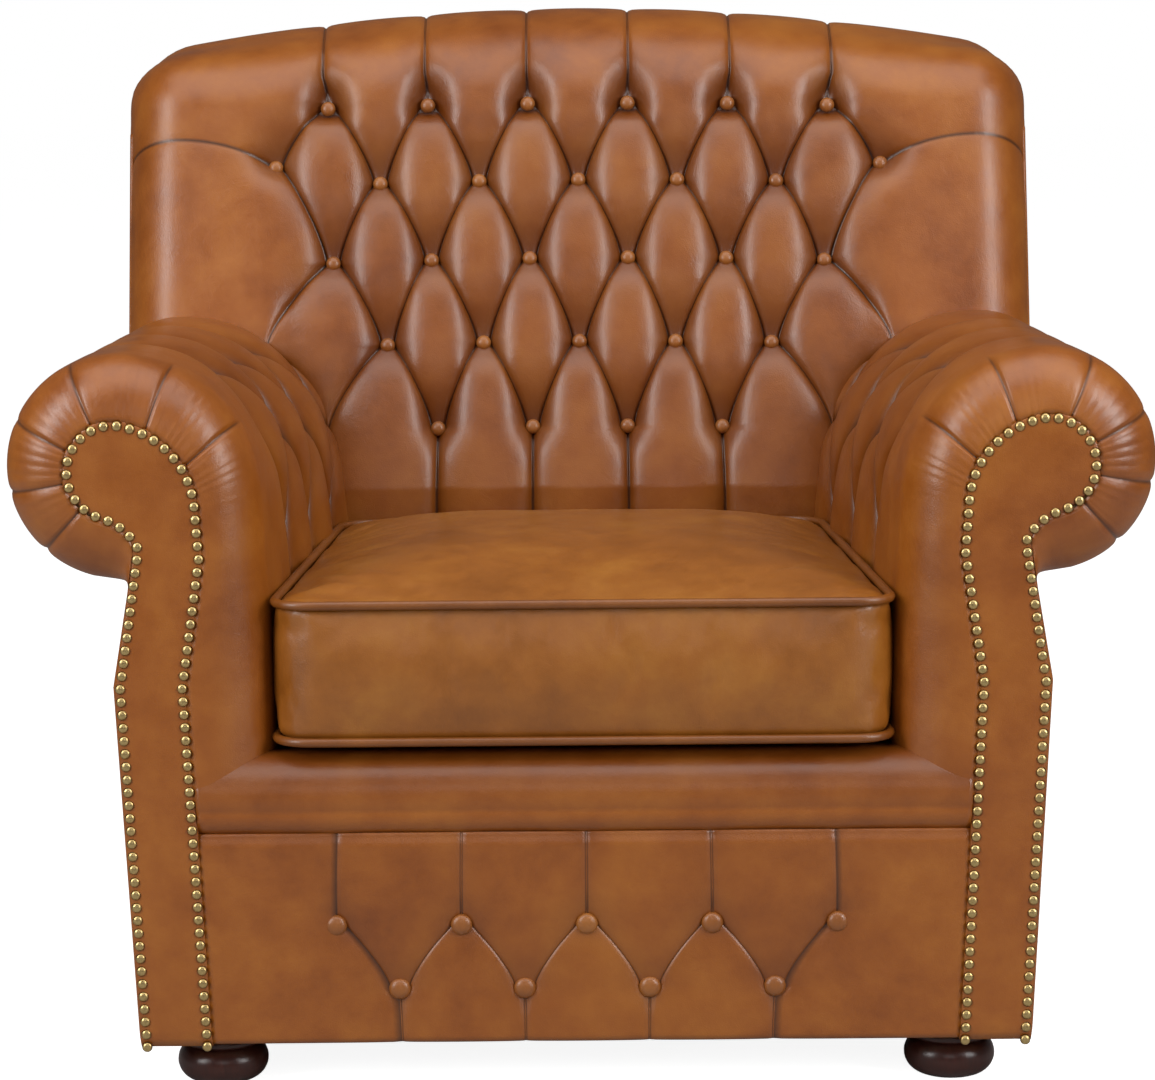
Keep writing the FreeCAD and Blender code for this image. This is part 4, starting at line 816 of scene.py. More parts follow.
# Columns run from the tucked front edge over the rim, then from pleat to pleat to the rear.
RIM_COLUMNS = 16
FRONT_COLUMNS = 26
ARM_COLUMNS = 13
REAR_COLUMNS = 18
rim_angles = np.linspace(math.pi / 2, 0.0, RIM_COLUMNS)
rim_y = FACING_Y + RIM_DEPTH * (1 - np.sin(rim_angles))
rim_draw = 1.04 * (1 - np.cos(rim_angles))
rim_rear = rim_y[-1]
_, plain_z = arm_section(np.full(len(girth), BACK_FACE_Y), girth, np.zeros(len(girth)))
arm_rear_y = post_line_y(plain_z)
columns = [np.full(len(girth), y) for y in rim_y]
columns += [rim_rear + (arm_strands[:, 0] - rim_rear) * share
            for share in np.linspace(0.0, 1.0, FRONT_COLUMNS + 1)[1:]]
columns += pillow_columns(arm_strands, ARM_COLUMNS)
columns += [arm_strands[:, -1] + (arm_rear_y - arm_strands[:, -1]) * share
            for share in np.linspace(0.0, 1.0, REAR_COLUMNS + 1)[1:] ** 1.5]
arm_y = np.array(columns).T
arm_rim = np.zeros(arm_y.shape)
arm_rim[:, :RIM_COLUMNS] = rim_draw
arm_s = np.repeat(girth[:, None], arm_y.shape[1], 1)
arm_v = np.repeat(girth_length[:, None], arm_y.shape[1], 1)
arm_pinned = np.zeros(arm_y.shape, bool)
arm_pinned[:, RIM_COLUMNS - 1 + FRONT_COLUMNS + ARM_COLUMNS * np.arange(arm_strands.shape[1])] = True
pattern_y = arm_y.copy()
pattern_y[:, :RIM_COLUMNS] = rim_rear - (RIM_DEPTH * 1.5) * np.linspace(1.0, 0.0, RIM_COLUMNS)
arm_pillow = puff(np.stack([pattern_y, arm_v], -1), arm_pinned, ARM_PILLOW_REACH)
arm_nearest = button_gap(arm_y, arm_v, arm_buttons_at.values())
arm_gap = strand_gap(arm_y, arm_strands)

# The tufting is deep on the inside of the arm. It fades to light pleats over the roll and to
# almost nothing below the lowest tufts.
over_roll = smooth_step(arm_s, 1.70, 2.3)
below_tufts = smooth_step(-arm_s, -0.72, -0.42)
arm_fold = ARM_FOLD_DEPTH + (ARM_PLEAT_DEPTH - ARM_FOLD_DEPTH) * over_roll
arm_fold = arm_fold * (1 - 0.85 * below_tufts)
arm_depth = dimpled(arm_fold, ARM_BUTTON_DEPTH, arm_nearest, ARM_DIMPLE_REACH)
arm_lift = -arm_depth * (1 - arm_pillow ** PILLOW_FULLNESS)
tufted = (1 - 0.8 * over_roll) * (1 - 0.9 * below_tufts)
arm_lift -= NOTCH_DEPTH * 2.0 * tufted * np.exp(-arm_gap / (NOTCH_WIDTH * 1.4))
# A line of painted shade along the visible side of each fold of the inside.
arm_crease_shade = tufted * np.exp(-(arm_gap / 3.4) ** 2)

# Pleats of the rim: a sharp notch that runs from the nails to the crest of the rim.
rim_place = np.clip((arm_y - FACING_Y) / RIM_DEPTH, 0.0, 1.3)
rim_fade = smooth_step(1.25 - rim_place, 0.0, 0.55)
for share in rim_shares:
    away = np.abs(arm_v - length_at(share))
    arm_lift -= RIM_NOTCH_DEPTH * rim_fade * np.exp(-away / RIM_NOTCH_WIDTH)
    # Each rim pleat also gets a line of painted shade.
    arm_crease_shade = np.maximum(arm_crease_shade, 0.8 * rim_fade * (away < 0.5))
gather = np.sin(arm_v * 0.83) * np.sin(arm_v * 0.29 + 1.0)
arm_lift += 0.5 * gather * smooth_step(0.8 - rim_place, 0.0, 0.6) * smooth_step(arm_s, 0.9, 1.2)

arm_x, arm_z = arm_section(arm_y, arm_s, arm_rim)
arm_base = np.stack([arm_x, arm_y, arm_z], -1)


def surface_normals(points):
    """Unit normals of a grid of points."""
    across = np.gradient(points, axis=1)
    up = np.gradient(points, axis=0)
    normal = np.cross(across, up)
    return normal / np.maximum(np.linalg.norm(normal, axis=-1, keepdims=True), 1e-9)


arm_normal = surface_normals(arm_base)
arm_normal *= np.sign((arm_normal[60, 60] * np.array([-1.0, 0.0, 0.5])).sum())
arm_front = arm_base + arm_normal * arm_lift[..., None]
core_x, core_z = arm_section(np.zeros(len(girth)), girth, np.ones(len(girth)))
core_rear = np.stack([core_x, arm_rear_y, core_z], -1)[:, None]
core_front = np.stack([core_x, np.full(len(girth), FACING_Y + 12.0), core_z], -1)[:, None]
arm_ring = np.concatenate([arm_front, core_rear, core_front], 1)
# Marks for the hide: the painted shade lines, and the darkening of the sunk parts, partly as dye left in the
# folds and partly as painted shade.
arm_marks = {"crease": ring_mark(arm_crease_shade, 2),
             "hollow": ring_mark(np.clip(-arm_lift / BACK_BUTTON_DEPTH, 0.0, 1.0), 2)}
for side, name in SIDES:
    arm = add_piece(name + "_arm", *closed_form(arm_ring * (side, 1.0, 1.0)), cover_leather, "chair",
                    "cover_leather", arm_marks)
    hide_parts(name + "_arm_cover")

# Covered buttons of the arms: the same buttons as on the back, each tied down at the bottom of its
# tuft and looking straight out of it.
for side, name in SIDES:
    mirror = np.array([side, 1.0, 1.0])
    forms = []
    for y, v in arm_buttons_at.values():
        row = int(np.argmin(np.abs(girth_length - v)))
        column = int(np.argmin(np.abs(arm_y[row] - y)))
        axis = arm_normal[row, column] * mirror
        seat = arm_base[row, column] * mirror - axis * (ARM_BUTTON_DEPTH - BUTTON_STAND)
        forms.append(button_form(seat, axis, BUTTON_RADIUS, BUTTON_HEIGHT))
    buttons = add_piece(name + "_arm_tuft_buttons", *gather_forms(forms), button_leather, "chair",
                        "button_leather")
    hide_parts(name + "_arm_buttons")

# Facings: leather glued over a shaped board at the front of each arm, which hides the raw edges
# of the arm's hide and of the border.
FRAME_BOTTOM = 44.0
FACING_FOOT = (337.5, 401.6)
KNEE_Z = 373.0
FACING_THICKNESS = 6.0
PANEL_EDGE_DROP = 1.6
PANEL_EDGE_WIDTH = 1.2


def upholstered_panel(edge_a, edge_b, outward, thickness, rise, reach, columns):
    """A closed panel between two matching edges, with rounded borders. It is rise fuller in its
    middle than at its border, and reaches that fullness over a distance of about reach."""
    outward = np.asarray(outward, float) / np.linalg.norm(outward)
    across = np.concatenate([[0.0, 0.012, 0.03, 0.06], np.linspace(0.1, 0.9, columns - 8),
                             [0.94, 0.97, 0.988, 1.0]])
    places = edge_a[:, None] + (edge_b - edge_a)[:, None] * across[None, :, None]
    span = np.linalg.norm(edge_b - edge_a, axis=-1)[:, None]
    middle = (edge_a + edge_b) / 2
    run = run_along(middle)
    edge = np.minimum(np.minimum(across, 1 - across)[None] * span, np.minimum(run, run[-1] - run)[:, None])
    drop = PANEL_EDGE_DROP * np.exp(-edge / PANEL_EDGE_WIDTH) + rise * (np.exp(-edge / reach) - 1)
    front = places - outward * drop[..., None]
    rear = places[:, ::-1] - outward * thickness
    return closed_form(np.concatenate([front, rear], 1))


# Both edges of the facing, from its foot up to the top of the scroll, where they meet.
leg_z = np.linspace(FRAME_BOTTOM, NECK_INNER[1], 60)
turn = np.linspace(0.0, 1.0, 44)[1:]
inner_line = np.concatenate([
    np.stack([np.interp(leg_z, (FRAME_BOTTOM, KNEE_Z, NECK_INNER[1]),
                        (FACING_FOOT[0], KNEE_INNER[0], NECK_INNER[0])), leg_z], -1),
    [blend(np.array(NECK_INNER), np.array(BROW), share) for share in turn[:8] / turn[7]],
    facing_outline(1 + turn[8:], 0.0)])
outer_line = np.concatenate([
    np.stack([np.interp(leg_z, (FRAME_BOTTOM, KNEE_Z, NECK_OUTER[1]),
                        (FACING_FOOT[1], KNEE_OUTER[0], NECK_OUTER[0])), leg_z], -1),
    facing_outline(3.6 - 0.6 * turn[:12] / turn[11], 0.0), facing_outline(3.0 - turn[12:] * 0.999, 0.0)])
for side, name in SIDES:
    edges = [np.stack([line[:, 0] * side, np.full(len(line), FACING_Y), line[:, 1]], -1)
             for line in (inner_line, outer_line)]
    panel = upholstered_panel(*edges, (0.0, -1.0, 0.0), FACING_THICKNESS, rise=0.9, reach=9.0, columns=17)
    facing = add_piece(name + "_facing", *panel, cover_leather, "chair", "cover_leather")
    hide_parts(name + "_facing_panel")

# Nails: a close row of domed brass nails just inside the facing's edge, each with a forged head
# and an antique finish that stays dark in the recesses and is rubbed bright on the crown.
NAIL_MARGIN = 4.9
NAIL_PITCH = 11.8
NAIL_RADIUS = 4.75
NAIL_HEIGHT = 3.1
NAIL_SIDES = 20
NAIL_SEAT_Y = FACING_Y + 0.1
TARNISH_SIZE = 2.5
brass = new_material("antique_brass")
tree = brass.node_tree
tarnish = add_node(tree, "ShaderNodeAttribute", {"attribute_name": "tarnish"})
patch = add_node(tree, "ShaderNodeTexNoise", {}, {
    "Vector": add_node(tree, "ShaderNodeTexCoord").outputs["Object"], "Scale": 1000 / TARNISH_SIZE,
    "Detail": 3.0})
dulled = add_node(tree, "ShaderNodeMath", {"operation": "MULTIPLY_ADD"}, {
    0: patch.outputs["Fac"], 1: 0.5, 2: tarnish.outputs["Fac"]})
brass_colour = add_node(tree, "ShaderNodeValToRGB", {}, {"Fac": dulled.outputs[0]})
brass_colour.color_ramp.elements[0].position = 0.25
brass_colour.color_ramp.elements[0].color = linear("#CDB27A")
brass_colour.color_ramp.elements[1].position = 1.0
brass_colour.color_ramp.elements[1].color = linear("#3A260F")
brass_colour.color_ramp.elements.new(0.55).color = linear("#8C6D3C")
brass_shader = add_node(tree, "ShaderNodeBsdfPrincipled", {}, {
    "Base Color": brass_colour.outputs["Color"], "Metallic": 1.0, "Roughness": 0.34})
add_node(tree, "ShaderNodeOutputMaterial", {}, {"Surface": brass_shader.outputs[0]})


def nail_places():
    """Evenly spaced (x, z) of the nails along the facing's edge, from its inner foot to its outer."""
    inner = [(FACING_FOOT[0] + NAIL_MARGIN, FRAME_BOTTOM), (KNEE_INNER[0] + NAIL_MARGIN, KNEE_Z),
             (NECK_INNER[0] + NAIL_MARGIN, NECK_INNER[1])]
    s = np.concatenate([np.linspace(1.0, 2.0, 36), np.linspace(2.0, 3.0, 60)[1:],
                        3 + 0.6 * np.linspace(0.0, 1.0, 14)[1:]])
    outer = [(KNEE_OUTER[0] - NAIL_MARGIN, KNEE_Z), (FACING_FOOT[1] - NAIL_MARGIN, FRAME_BOTTOM)]
    line = np.concatenate([inner, facing_outline(s, NAIL_MARGIN), outer])
    run = run_along(line)
    at = np.linspace(0.0, run[-1], round(run[-1] / NAIL_PITCH) + 1)
    return np.stack([np.interp(at, run, line[:, 0]), np.interp(at, run, line[:, 1])], -1)


nail_profile = [(1.0, -3.0), (NAIL_RADIUS * 0.9, -0.4)]
nail_profile += [(NAIL_RADIUS * math.cos(t) ** 0.9, NAIL_HEIGHT * math.sin(t))
                 for t in np.linspace(0.0, math.pi / 2, 7)[:-1]]
nail_profile.append((0.25, NAIL_HEIGHT))
for side, name in SIDES:
    points, faces = gather_forms([
        turned(nail_profile, (x * side, NAIL_SEAT_Y, z), (0.0, -1.0, 0.0), NAIL_SIDES)
        for x, z in nail_places()])
    height = (NAIL_SEAT_Y - points[:, 1]) / NAIL_HEIGHT
    nails = add_piece(name + "_facing_nail_row", points, faces, brass, "chair", "antique_brass",
                      {"tarnish": np.clip(0.75 - height, 0.0, 1.0)})
    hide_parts(name + "_facing_nails")

# Border: the front of the seat base, a hide over thin foam on a board, with two rows of buttons and
# with pleats up to the lip and down to the bottom edge, where it turns under.
BORDER_Y = -445.0
BORDER_TOP = 239.0
BORDER_ROWS = (153.0, 94.0)
BORDER_PITCH = 56.5
BORDER_SHIFT = 1.5
BORDER_BUTTON_DEPTH = 8.0
BORDER_FOLD_DEPTH = 4.6
BORDER_PLEAT_DEPTH = 2.6
BORDER_NOTCH_DEPTH = 0.9
BORDER_DIMPLE_REACH = 22.0
BORDER_THICKNESS = 11.0
BORDER_TUCK = 7.0
BORDER_TUCK_DEPTH = 6.0
BORDER_EDGE_COLUMNS = 24
BORDER_PILLOW_COLUMNS = 14


def inner_facing_at(z):
    """Distance of a facing's inner edge from the middle of the chair, at a height."""
    return FACING_FOOT[0] + (z - FRAME_BOTTOM) * (KNEE_INNER[0] - FACING_FOOT[0]) / (KNEE_Z - FRAME_BOTTOM)


def border_strand(index):
    """Waypoints of one pleat between two button columns, from the top down."""
    upper = index if index % 2 == 0 else index + 1
    lower = index + 1 if index % 2 == 0 else index
    points = []
    for row, column in enumerate((upper, lower)):
        side = 1 if column == index else -1
        x = column * BORDER_PITCH + BORDER_SHIFT
        if row == 0:
            points.append((x * 0.99 + side * PLEAT_HALF, BORDER_TOP, "pleat"))
            points.append((x + side * PLEAT_MOUTH, BORDER_ROWS[0] + 9.0, "pleat"))
        points.append((x + side * (FLANK + 1.5), BORDER_ROWS[row], "fold"))
        if row == 1:
            points.append((x + side * PLEAT_MOUTH, BORDER_ROWS[1] - 9.0, "pleat"))
            points.append((x * 0.99 + side * PLEAT_HALF, FRAME_BOTTOM - 2, "pleat"))
    return points


border_z = np.concatenate([np.linspace(FRAME_BOTTOM, FRAME_BOTTOM + 7, 6),
                           np.linspace(FRAME_BOTTOM + 9, BORDER_TOP, 74)])
border_strands = strands_at(border_z, [border_strand(index) for index in range(-4, 4)])
border_edge = inner_facing_at(border_z) + 1.0
edge_shares = np.linspace(0.0, 1.0, BORDER_EDGE_COLUMNS)
columns = [-border_edge + (border_strands[:, 0] + border_edge) * share for share in edge_shares]
columns += pillow_columns(border_strands, BORDER_PILLOW_COLUMNS)
columns += [border_strands[:, -1] + (border_edge - border_strands[:, -1]) * share
            for share in edge_shares[1:]]
border_x = np.array(columns).T
border_v = np.repeat(border_z[:, None], border_x.shape[1], 1)
border_pinned = np.zeros(border_x.shape, bool)
border_pinned[:, BORDER_EDGE_COLUMNS - 1 + BORDER_PILLOW_COLUMNS * np.arange(border_strands.shape[1])] = True
border_pillow = puff(np.stack([border_x, border_v], -1), border_pinned, PILLOW_REACH)
border_buttons_at = [(column * BORDER_PITCH + BORDER_SHIFT, BORDER_ROWS[column % 2])
                     for column in range(-4, 5)]
border_nearest = button_gap(border_x, border_v, border_buttons_at)
pleated = (smooth_step(border_v, BORDER_ROWS[0], BORDER_ROWS[0] + 30)
           + smooth_step(-border_v, -BORDER_ROWS[1], -BORDER_ROWS[1] + 25))
border_fold = BORDER_FOLD_DEPTH + (BORDER_PLEAT_DEPTH - BORDER_FOLD_DEPTH) * np.clip(pleated, 0.0, 1.0)
border_sink = dimpled(border_fold, BORDER_BUTTON_DEPTH, border_nearest, BORDER_DIMPLE_REACH)
border_in = border_sink * (1 - border_pillow ** PILLOW_FULLNESS)
border_in += BORDER_NOTCH_DEPTH * np.exp(-strand_gap(border_x, border_strands) / NOTCH_WIDTH)
tuck = np.maximum(BORDER_TUCK - (border_v - FRAME_BOTTOM), 0.0) / BORDER_TUCK
border_in += BORDER_TUCK_DEPTH * (1 - np.sqrt(np.maximum(1 - tuck ** 2, 0.0)))
border_in += 2.5 * smooth_step(border_v, BORDER_TOP - 12.0, BORDER_TOP)
border_front = np.stack([border_x, BORDER_Y + border_in, border_v], -1)
border_rear = border_front[:, [-1, 0]]
border_rear[..., 1] = BORDER_Y + BORDER_THICKNESS
border_ring = np.concatenate([border_front, border_rear], 1)
# The crease mark paints a line of shade along each pleat. The hollow mark darkens the sunk parts, the tucked
# bottom edge and the top under the lip, partly as dye left in the folds and partly as painted shade.
border = add_piece("front_border", *closed_form(border_ring), cover_leather, "chair", "cover_leather", {
    "crease": ring_mark(np.where(border_pinned, 0.9, 0.0), 2),
    "hollow": ring_mark(np.clip(border_in / 20.0, 0.0, 1.0), 2)})
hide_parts("border_cover")

# Covered buttons of the border: wider than those of the back, made the same way, and drawn only a
# little way into the thin foam.
BORDER_BUTTON_RADIUS = 9.8
BORDER_BUTTON_HEIGHT = 6.0
forms = [button_form((x, BORDER_Y + BORDER_BUTTON_DEPTH - 1.0, z), (0.0, -1.0, 0.0),
                     BORDER_BUTTON_RADIUS, BORDER_BUTTON_HEIGHT) for x, z in border_buttons_at]
border_buttons = add_piece("border_tuft_buttons", *gather_forms(forms), button_leather, "chair",
                           "button_leather")
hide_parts("border_buttons")

# Lip: a leather roll along the front of the deck that the cushion rests behind, sewn to the
# border below it. The hide ripples a little along the roll.
LIP_BOTTOM = 238.0
LIP_TOP = 308.0
LIP_REAR_Y = -385.0
LIP_NOSE = 35.0
LIP_COLUMNS = 150
lip_front = pair(BORDER_Y - 1.0, LIP_BOTTOM + LIP_NOSE * 0.6)
lip_top_turn = three_point_arc(
    pair(BORDER_Y + LIP_NOSE, LIP_TOP), pair(BORDER_Y + LIP_NOSE * 0.2, LIP_TOP - LIP_NOSE * 0.34),
    lip_front, np.linspace(0.0, 1.0, 26))
lip_low_turn = three_point_arc(
    lip_front, pair(BORDER_Y + 0.8, LIP_BOTTOM + LIP_NOSE * 0.2), pair(BORDER_Y + 7.0, LIP_BOTTOM),
    np.linspace(0.0, 1.0, 12)[1:])
lip_profile = np.concatenate([
    [(LIP_REAR_Y, LIP_TOP)], lip_top_turn, lip_low_turn, [(LIP_REAR_Y, LIP_BOTTOM)]])
lip_x = np.linspace(-1.0, 1.0, LIP_COLUMNS)[:, None] * inner_facing_at(lip_profile[:, 1])
ripple = (np.sin(lip_x * 0.021 + 0.6) + 0.6 * np.sin(lip_x * 0.053 + 2.0)) * 0.7
swell = np.clip((BORDER_Y + LIP_NOSE - lip_profile[:, 0]) / 40.0, 0.0, 1.0)
lip_z = np.broadcast_to(lip_profile[:, 1], lip_x.shape)
lip_rings = np.stack([lip_x, lip_profile[:, 0] - ripple * swell, lip_z], -1)
# Painted shadow: the top of the lip is coloured darker where the cushion shades it.
painted_cushion_shadow = 0.62 * smooth_step(lip_z, 262.0, 300.0)
lip = add_piece("seat_lip", *closed_form(lip_rings), cover_leather, "chair", "cover_leather",
                {"hollow": painted_cushion_shadow.reshape(-1)})
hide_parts("lip_cover")

# Seat cushion: a loose box cushion, foam and fibre in a leather case of top panel, boxing and
# bottom panel, blown up by its own filling between the two piped seams.
CUSHION_HALF = 278.0
CUSHION_REAR_HALF = 246.0
CUSHION_FRONT_Y = -437.0
CUSHION_REAR_Y = 79.0
CUSHION_CORNER = 34.0
CUSHION_SEAMS_Z = (321.0, 445.0)
CUSHION_RING_POINTS = 240
CUSHION_MESH_SIZE = 8.0
CUSHION_PRESSURE = 4.0
CUSHION_TENSION = 25.0
CUSHION_GROWTH = 0.012
CUSHION_MOST_SWELL = 26.0
FILLING_FRAMES = 20
cushion_leather = leather_hide("cushion_leather", "#A96D22", "#935616", "#75400C", "#5C2C06", 0.38)


def cushion_outline(grow, count):
    """Rounded rectangle of the cushion's plan, as evenly spaced (x, y)."""
    corner = CUSHION_CORNER + grow
    half, front, rear = CUSHION_HALF + grow, CUSHION_FRONT_Y - grow, CUSHION_REAR_Y + grow
    line = []
    for x, y, start in ((half - corner, front + corner, -90), (half - corner, rear - corner, 0),
                        (corner - half, rear - corner, 90), (corner - half, front + corner, 180)):
        for angle in np.radians(start + np.linspace(0.0, 90.0, 13)):
            line.append((x + corner * math.cos(angle), y + corner * math.sin(angle)))
    line = np.array(line + line[:1])
    run = run_along(line)
    at = np.linspace(0.0, run[-1], count, endpoint=False)
    x, y = np.interp(at, run, line[:, 0]), np.interp(at, run, line[:, 1])
    taper = (y - CUSHION_FRONT_Y) / (CUSHION_REAR_Y - CUSHION_FRONT_Y)
    return np.stack([x * (1 + taper * (CUSHION_REAR_HALF / CUSHION_HALF - 1)), y], -1)


def cushion_blank():
    """The cushion before it is filled: straight boxing, panels only slightly crowned."""
    rings = []
    middle = np.array([0.0, (CUSHION_FRONT_Y + CUSHION_REAR_Y) / 2])
    outline = cushion_outline(0.0, CUSHION_RING_POINTS)
    seam_low, seam_high = CUSHION_SEAMS_Z
    for share, z in ((0.05, seam_low - 5), (0.5, seam_low - 4), (0.85, seam_low - 3), (0.97, seam_low - 1),
                     (1.0, seam_low), (1.0, seam_low + 40), (1.0, seam_high - 40), (1.0, seam_high),
                     (0.97, seam_high + 2), (0.85, seam_high + 8), (0.5, seam_high + 15),
                     (0.05, seam_high + 18)):
        ring = middle + (outline - middle) * share
        rings.append(np.column_stack([ring, np.full(len(ring), z)]))
    return closed_form(np.array(rings))


def fill_cushion(blank):
    """Blow the blank up as cloth by its filling, held at its seams, and smooth it once."""
    scene = bpy.context.scene
    bpy.context.view_layer.objects.active = blank
    remesh = blank.modifiers.new("even_mesh", "REMESH")
    remesh.mode = "VOXEL"
    remesh.voxel_size = CUSHION_MESH_SIZE / 1000
    bpy.ops.object.modifier_apply(modifier=remesh.name)
    before = np.empty(len(blank.data.vertices) * 3)
    blank.data.vertices.foreach_get("co", before)
    before = before.reshape(-1, 3)
    seam_points = blank.vertex_groups.new(name="seams")
    taper = (before[:, 1] * 1000 - CUSHION_FRONT_Y) / (CUSHION_REAR_Y - CUSHION_FRONT_Y)
    half = CUSHION_HALF + taper * (CUSHION_REAR_HALF - CUSHION_HALF)
    middle_y = (CUSHION_FRONT_Y + CUSHION_REAR_Y) / 2000
    past_side = np.abs(before[:, 0]) * 1000 - half
    past_end = np.abs(before[:, 1] - middle_y) * 1000 - (CUSHION_REAR_Y - CUSHION_FRONT_Y) / 2
    at_side = np.maximum(past_side, past_end) > -14.0
    seam_gap = np.min([np.abs(before[:, 2] * 1000 - z) for z in CUSHION_SEAMS_Z], axis=0)
    at_seam = at_side & (seam_gap < CUSHION_MESH_SIZE * 0.62)
    seam_points.add([int(i) for i in np.nonzero(at_seam)[0]], 1.0, "REPLACE")
    cloth = blank.modifiers.new("filling", "CLOTH")
    cloth.settings.use_pressure = True
    cloth.settings.uniform_pressure_force = CUSHION_PRESSURE
    cloth.settings.effector_weights.gravity = 0.0
    cloth.settings.vertex_group_mass = seam_points.name
    cloth.settings.tension_stiffness = CUSHION_TENSION
    cloth.settings.shrink_min = -CUSHION_GROWTH
    cloth.point_cache.frame_start = 1
    cloth.point_cache.frame_end = FILLING_FRAMES
    for step in range(1, FILLING_FRAMES + 1):
        scene.frame_set(step)
    depsgraph = bpy.context.evaluated_depsgraph_get()
    shaped = bpy.data.meshes.new_from_object(blank.evaluated_get(depsgraph))
    after = np.empty(len(shaped.vertices) * 3)
    shaped.vertices.foreach_get("co", after)
    moved = after.reshape(-1, 3) - before
    length = np.linalg.norm(moved, axis=1, keepdims=True)
    after = before + moved * np.minimum(1.0, CUSHION_MOST_SWELL / 1000 / np.maximum(length, 1e-9))
    shaped.vertices.foreach_set("co", after.ravel())
    blank.modifiers.clear()
    blank.data = shaped
    scene.frame_set(1)
    smooth = blank.modifiers.new("smooth", "SUBSURF")
    smooth.levels = 1
    bpy.ops.object.modifier_apply(modifier=smooth.name)
    for polygon in blank.data.polygons:
        polygon.use_smooth = True


cushion = add_piece("seat_cushion_case", *cushion_blank(), cushion_leather, "seat_cushion", "cushion_leather")
fill_cushion(cushion)
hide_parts("cushion_top_panel", "cushion_bottom_panel", "cushion_boxing", "cushion_core")

# Piping: a cord wrapped in leather, sewn into the top and bottom seams of the cushion. Handled the
# most, it has gone darker than the case.
PIPING_RADIUS = 4.2
PIPING_STEPS = 420
PIPING_SIDES = 12
piping_leather = leather_hide("piping_leather", "#8C5115", "#7A430E", "#633209", "#4C2405", 0.36)
path = cushion_outline(1.0, PIPING_STEPS)
forward = np.roll(path, -1, 0) - np.roll(path, 1, 0)
out = np.stack([forward[:, 1], -forward[:, 0]], -1) / np.linalg.norm(forward, axis=1)[:, None]
angles = np.linspace(0.0, 2 * math.pi, PIPING_SIDES, endpoint=False)
tube_xy = path[:, None] + out[:, None] * (PIPING_RADIUS * np.cos(angles))[None, :, None]
tube_rise = np.broadcast_to(PIPING_RADIUS * np.sin(angles), tube_xy.shape[:2])[..., None]
last = (PIPING_STEPS - 1) * PIPING_SIDES
tube_faces = [tuple(f) for f in grid_faces(PIPING_STEPS, PIPING_SIDES, closed=True)]
tube_faces += [(last + k, last + (k + 1) % PIPING_SIDES, (k + 1) % PIPING_SIDES, k)
               for k in range(PIPING_SIDES)]
forms = [(np.concatenate([tube_xy, z + tube_rise], -1).reshape(-1, 3), tube_faces) for z in CUSHION_SEAMS_Z]
piping = add_piece("seat_cushion_piping", *gather_forms(forms), piping_leather, "seat_cushion",
                   "piping_leather")
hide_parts("cushion_piping")

# Outside arms: leather pulled flat over a thin pad from the side rail to the arm rail, tacked under
# the roll and along the posts, so it's only slightly full.
OUTSIDE_TOP = 464.0
OUTSIDE_X = (FACING_FOOT[1], KNEE_OUTER[0], 401.0)
outside_z = np.linspace(FRAME_BOTTOM, OUTSIDE_TOP, 70)
outside_x = np.interp(outside_z, (FRAME_BOTTOM, KNEE_Z, OUTSIDE_TOP), OUTSIDE_X) + 2.0
for side, name in SIDES:
    front = np.stack([outside_x * side, np.full(len(outside_z), FACING_Y + 1.5), outside_z], -1)
    rear = np.stack([outside_x * side, post_line_y(outside_z), outside_z], -1)
    form = upholstered_panel(front, rear, (side, 0.0, 0.0), 4.0, rise=3.5, reach=40.0, columns=40)
    panel = add_piece(name + "_outside_arm_panel", *form, cover_leather, "chair", "cover_leather")
    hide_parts(name + "_outside_arm")

# Rear panels of the arms: leather over thin boards that close the rolls behind. Each follows the
# roll's outline, a little inside it.
ARM_PANEL_SIZE = 0.97
ARM_PANEL_CORE = 0.15
around = 1.35 + np.linspace(0.0, 1.0, 40) * 1.6
roll_x, roll_z = arm_section(np.full(40, ARM_REAR_Y + 50.0), around, np.zeros(40))
for side, name in SIDES:
    edges = []
    for size in (ARM_PANEL_SIZE, ARM_PANEL_SIZE * ARM_PANEL_CORE):
        x = SCROLL[0] + (roll_x - SCROLL[0]) * size
        z = SCROLL[1] + (roll_z - SCROLL[1]) * size
        edges.append(np.stack([x * side, post_line_y(z), z], -1))
    form = upholstered_panel(*edges, (0.0, 1.0, -POST_RAKE), 4.0, rise=2.0, reach=16.0, columns=24)
    panel = add_piece(name + "_arm_rear_closing_panel", *form, cover_leather, "chair", "cover_leather")
    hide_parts(name + "_arm_rear_panel")

# Outside back: one hide from the roll down to the bottom rail, over a thin pad and blind tacked
# along its edges.
OUTSIDE_BACK_TOP = 823.0
OUTSIDE_BACK_Z = (FRAME_BOTTOM, KNEE_Z, 464.0, 530.0, 567.0)
OUTSIDE_BACK_X = (403.5, 421.0, 403.0, 440.0, BACK_HALF - 2)
OUTSIDE_BACK_PROUD = 3.0
back_z = np.linspace(FRAME_BOTTOM, OUTSIDE_BACK_TOP, 110)
back_x = np.interp(back_z, OUTSIDE_BACK_Z, OUTSIDE_BACK_X)
back_y = post_line_y(back_z) + OUTSIDE_BACK_PROUD
edges = [np.stack([back_x * side, back_y, back_z], -1) for side in (-1, 1)]
form = upholstered_panel(*edges, (0.0, 1.0, -POST_RAKE), 5.0, rise=4.0, reach=60.0, columns=60)
outside_back = add_piece("outside_back_hide", *form, cover_leather, "chair", "cover_leather")
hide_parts("outside_back")

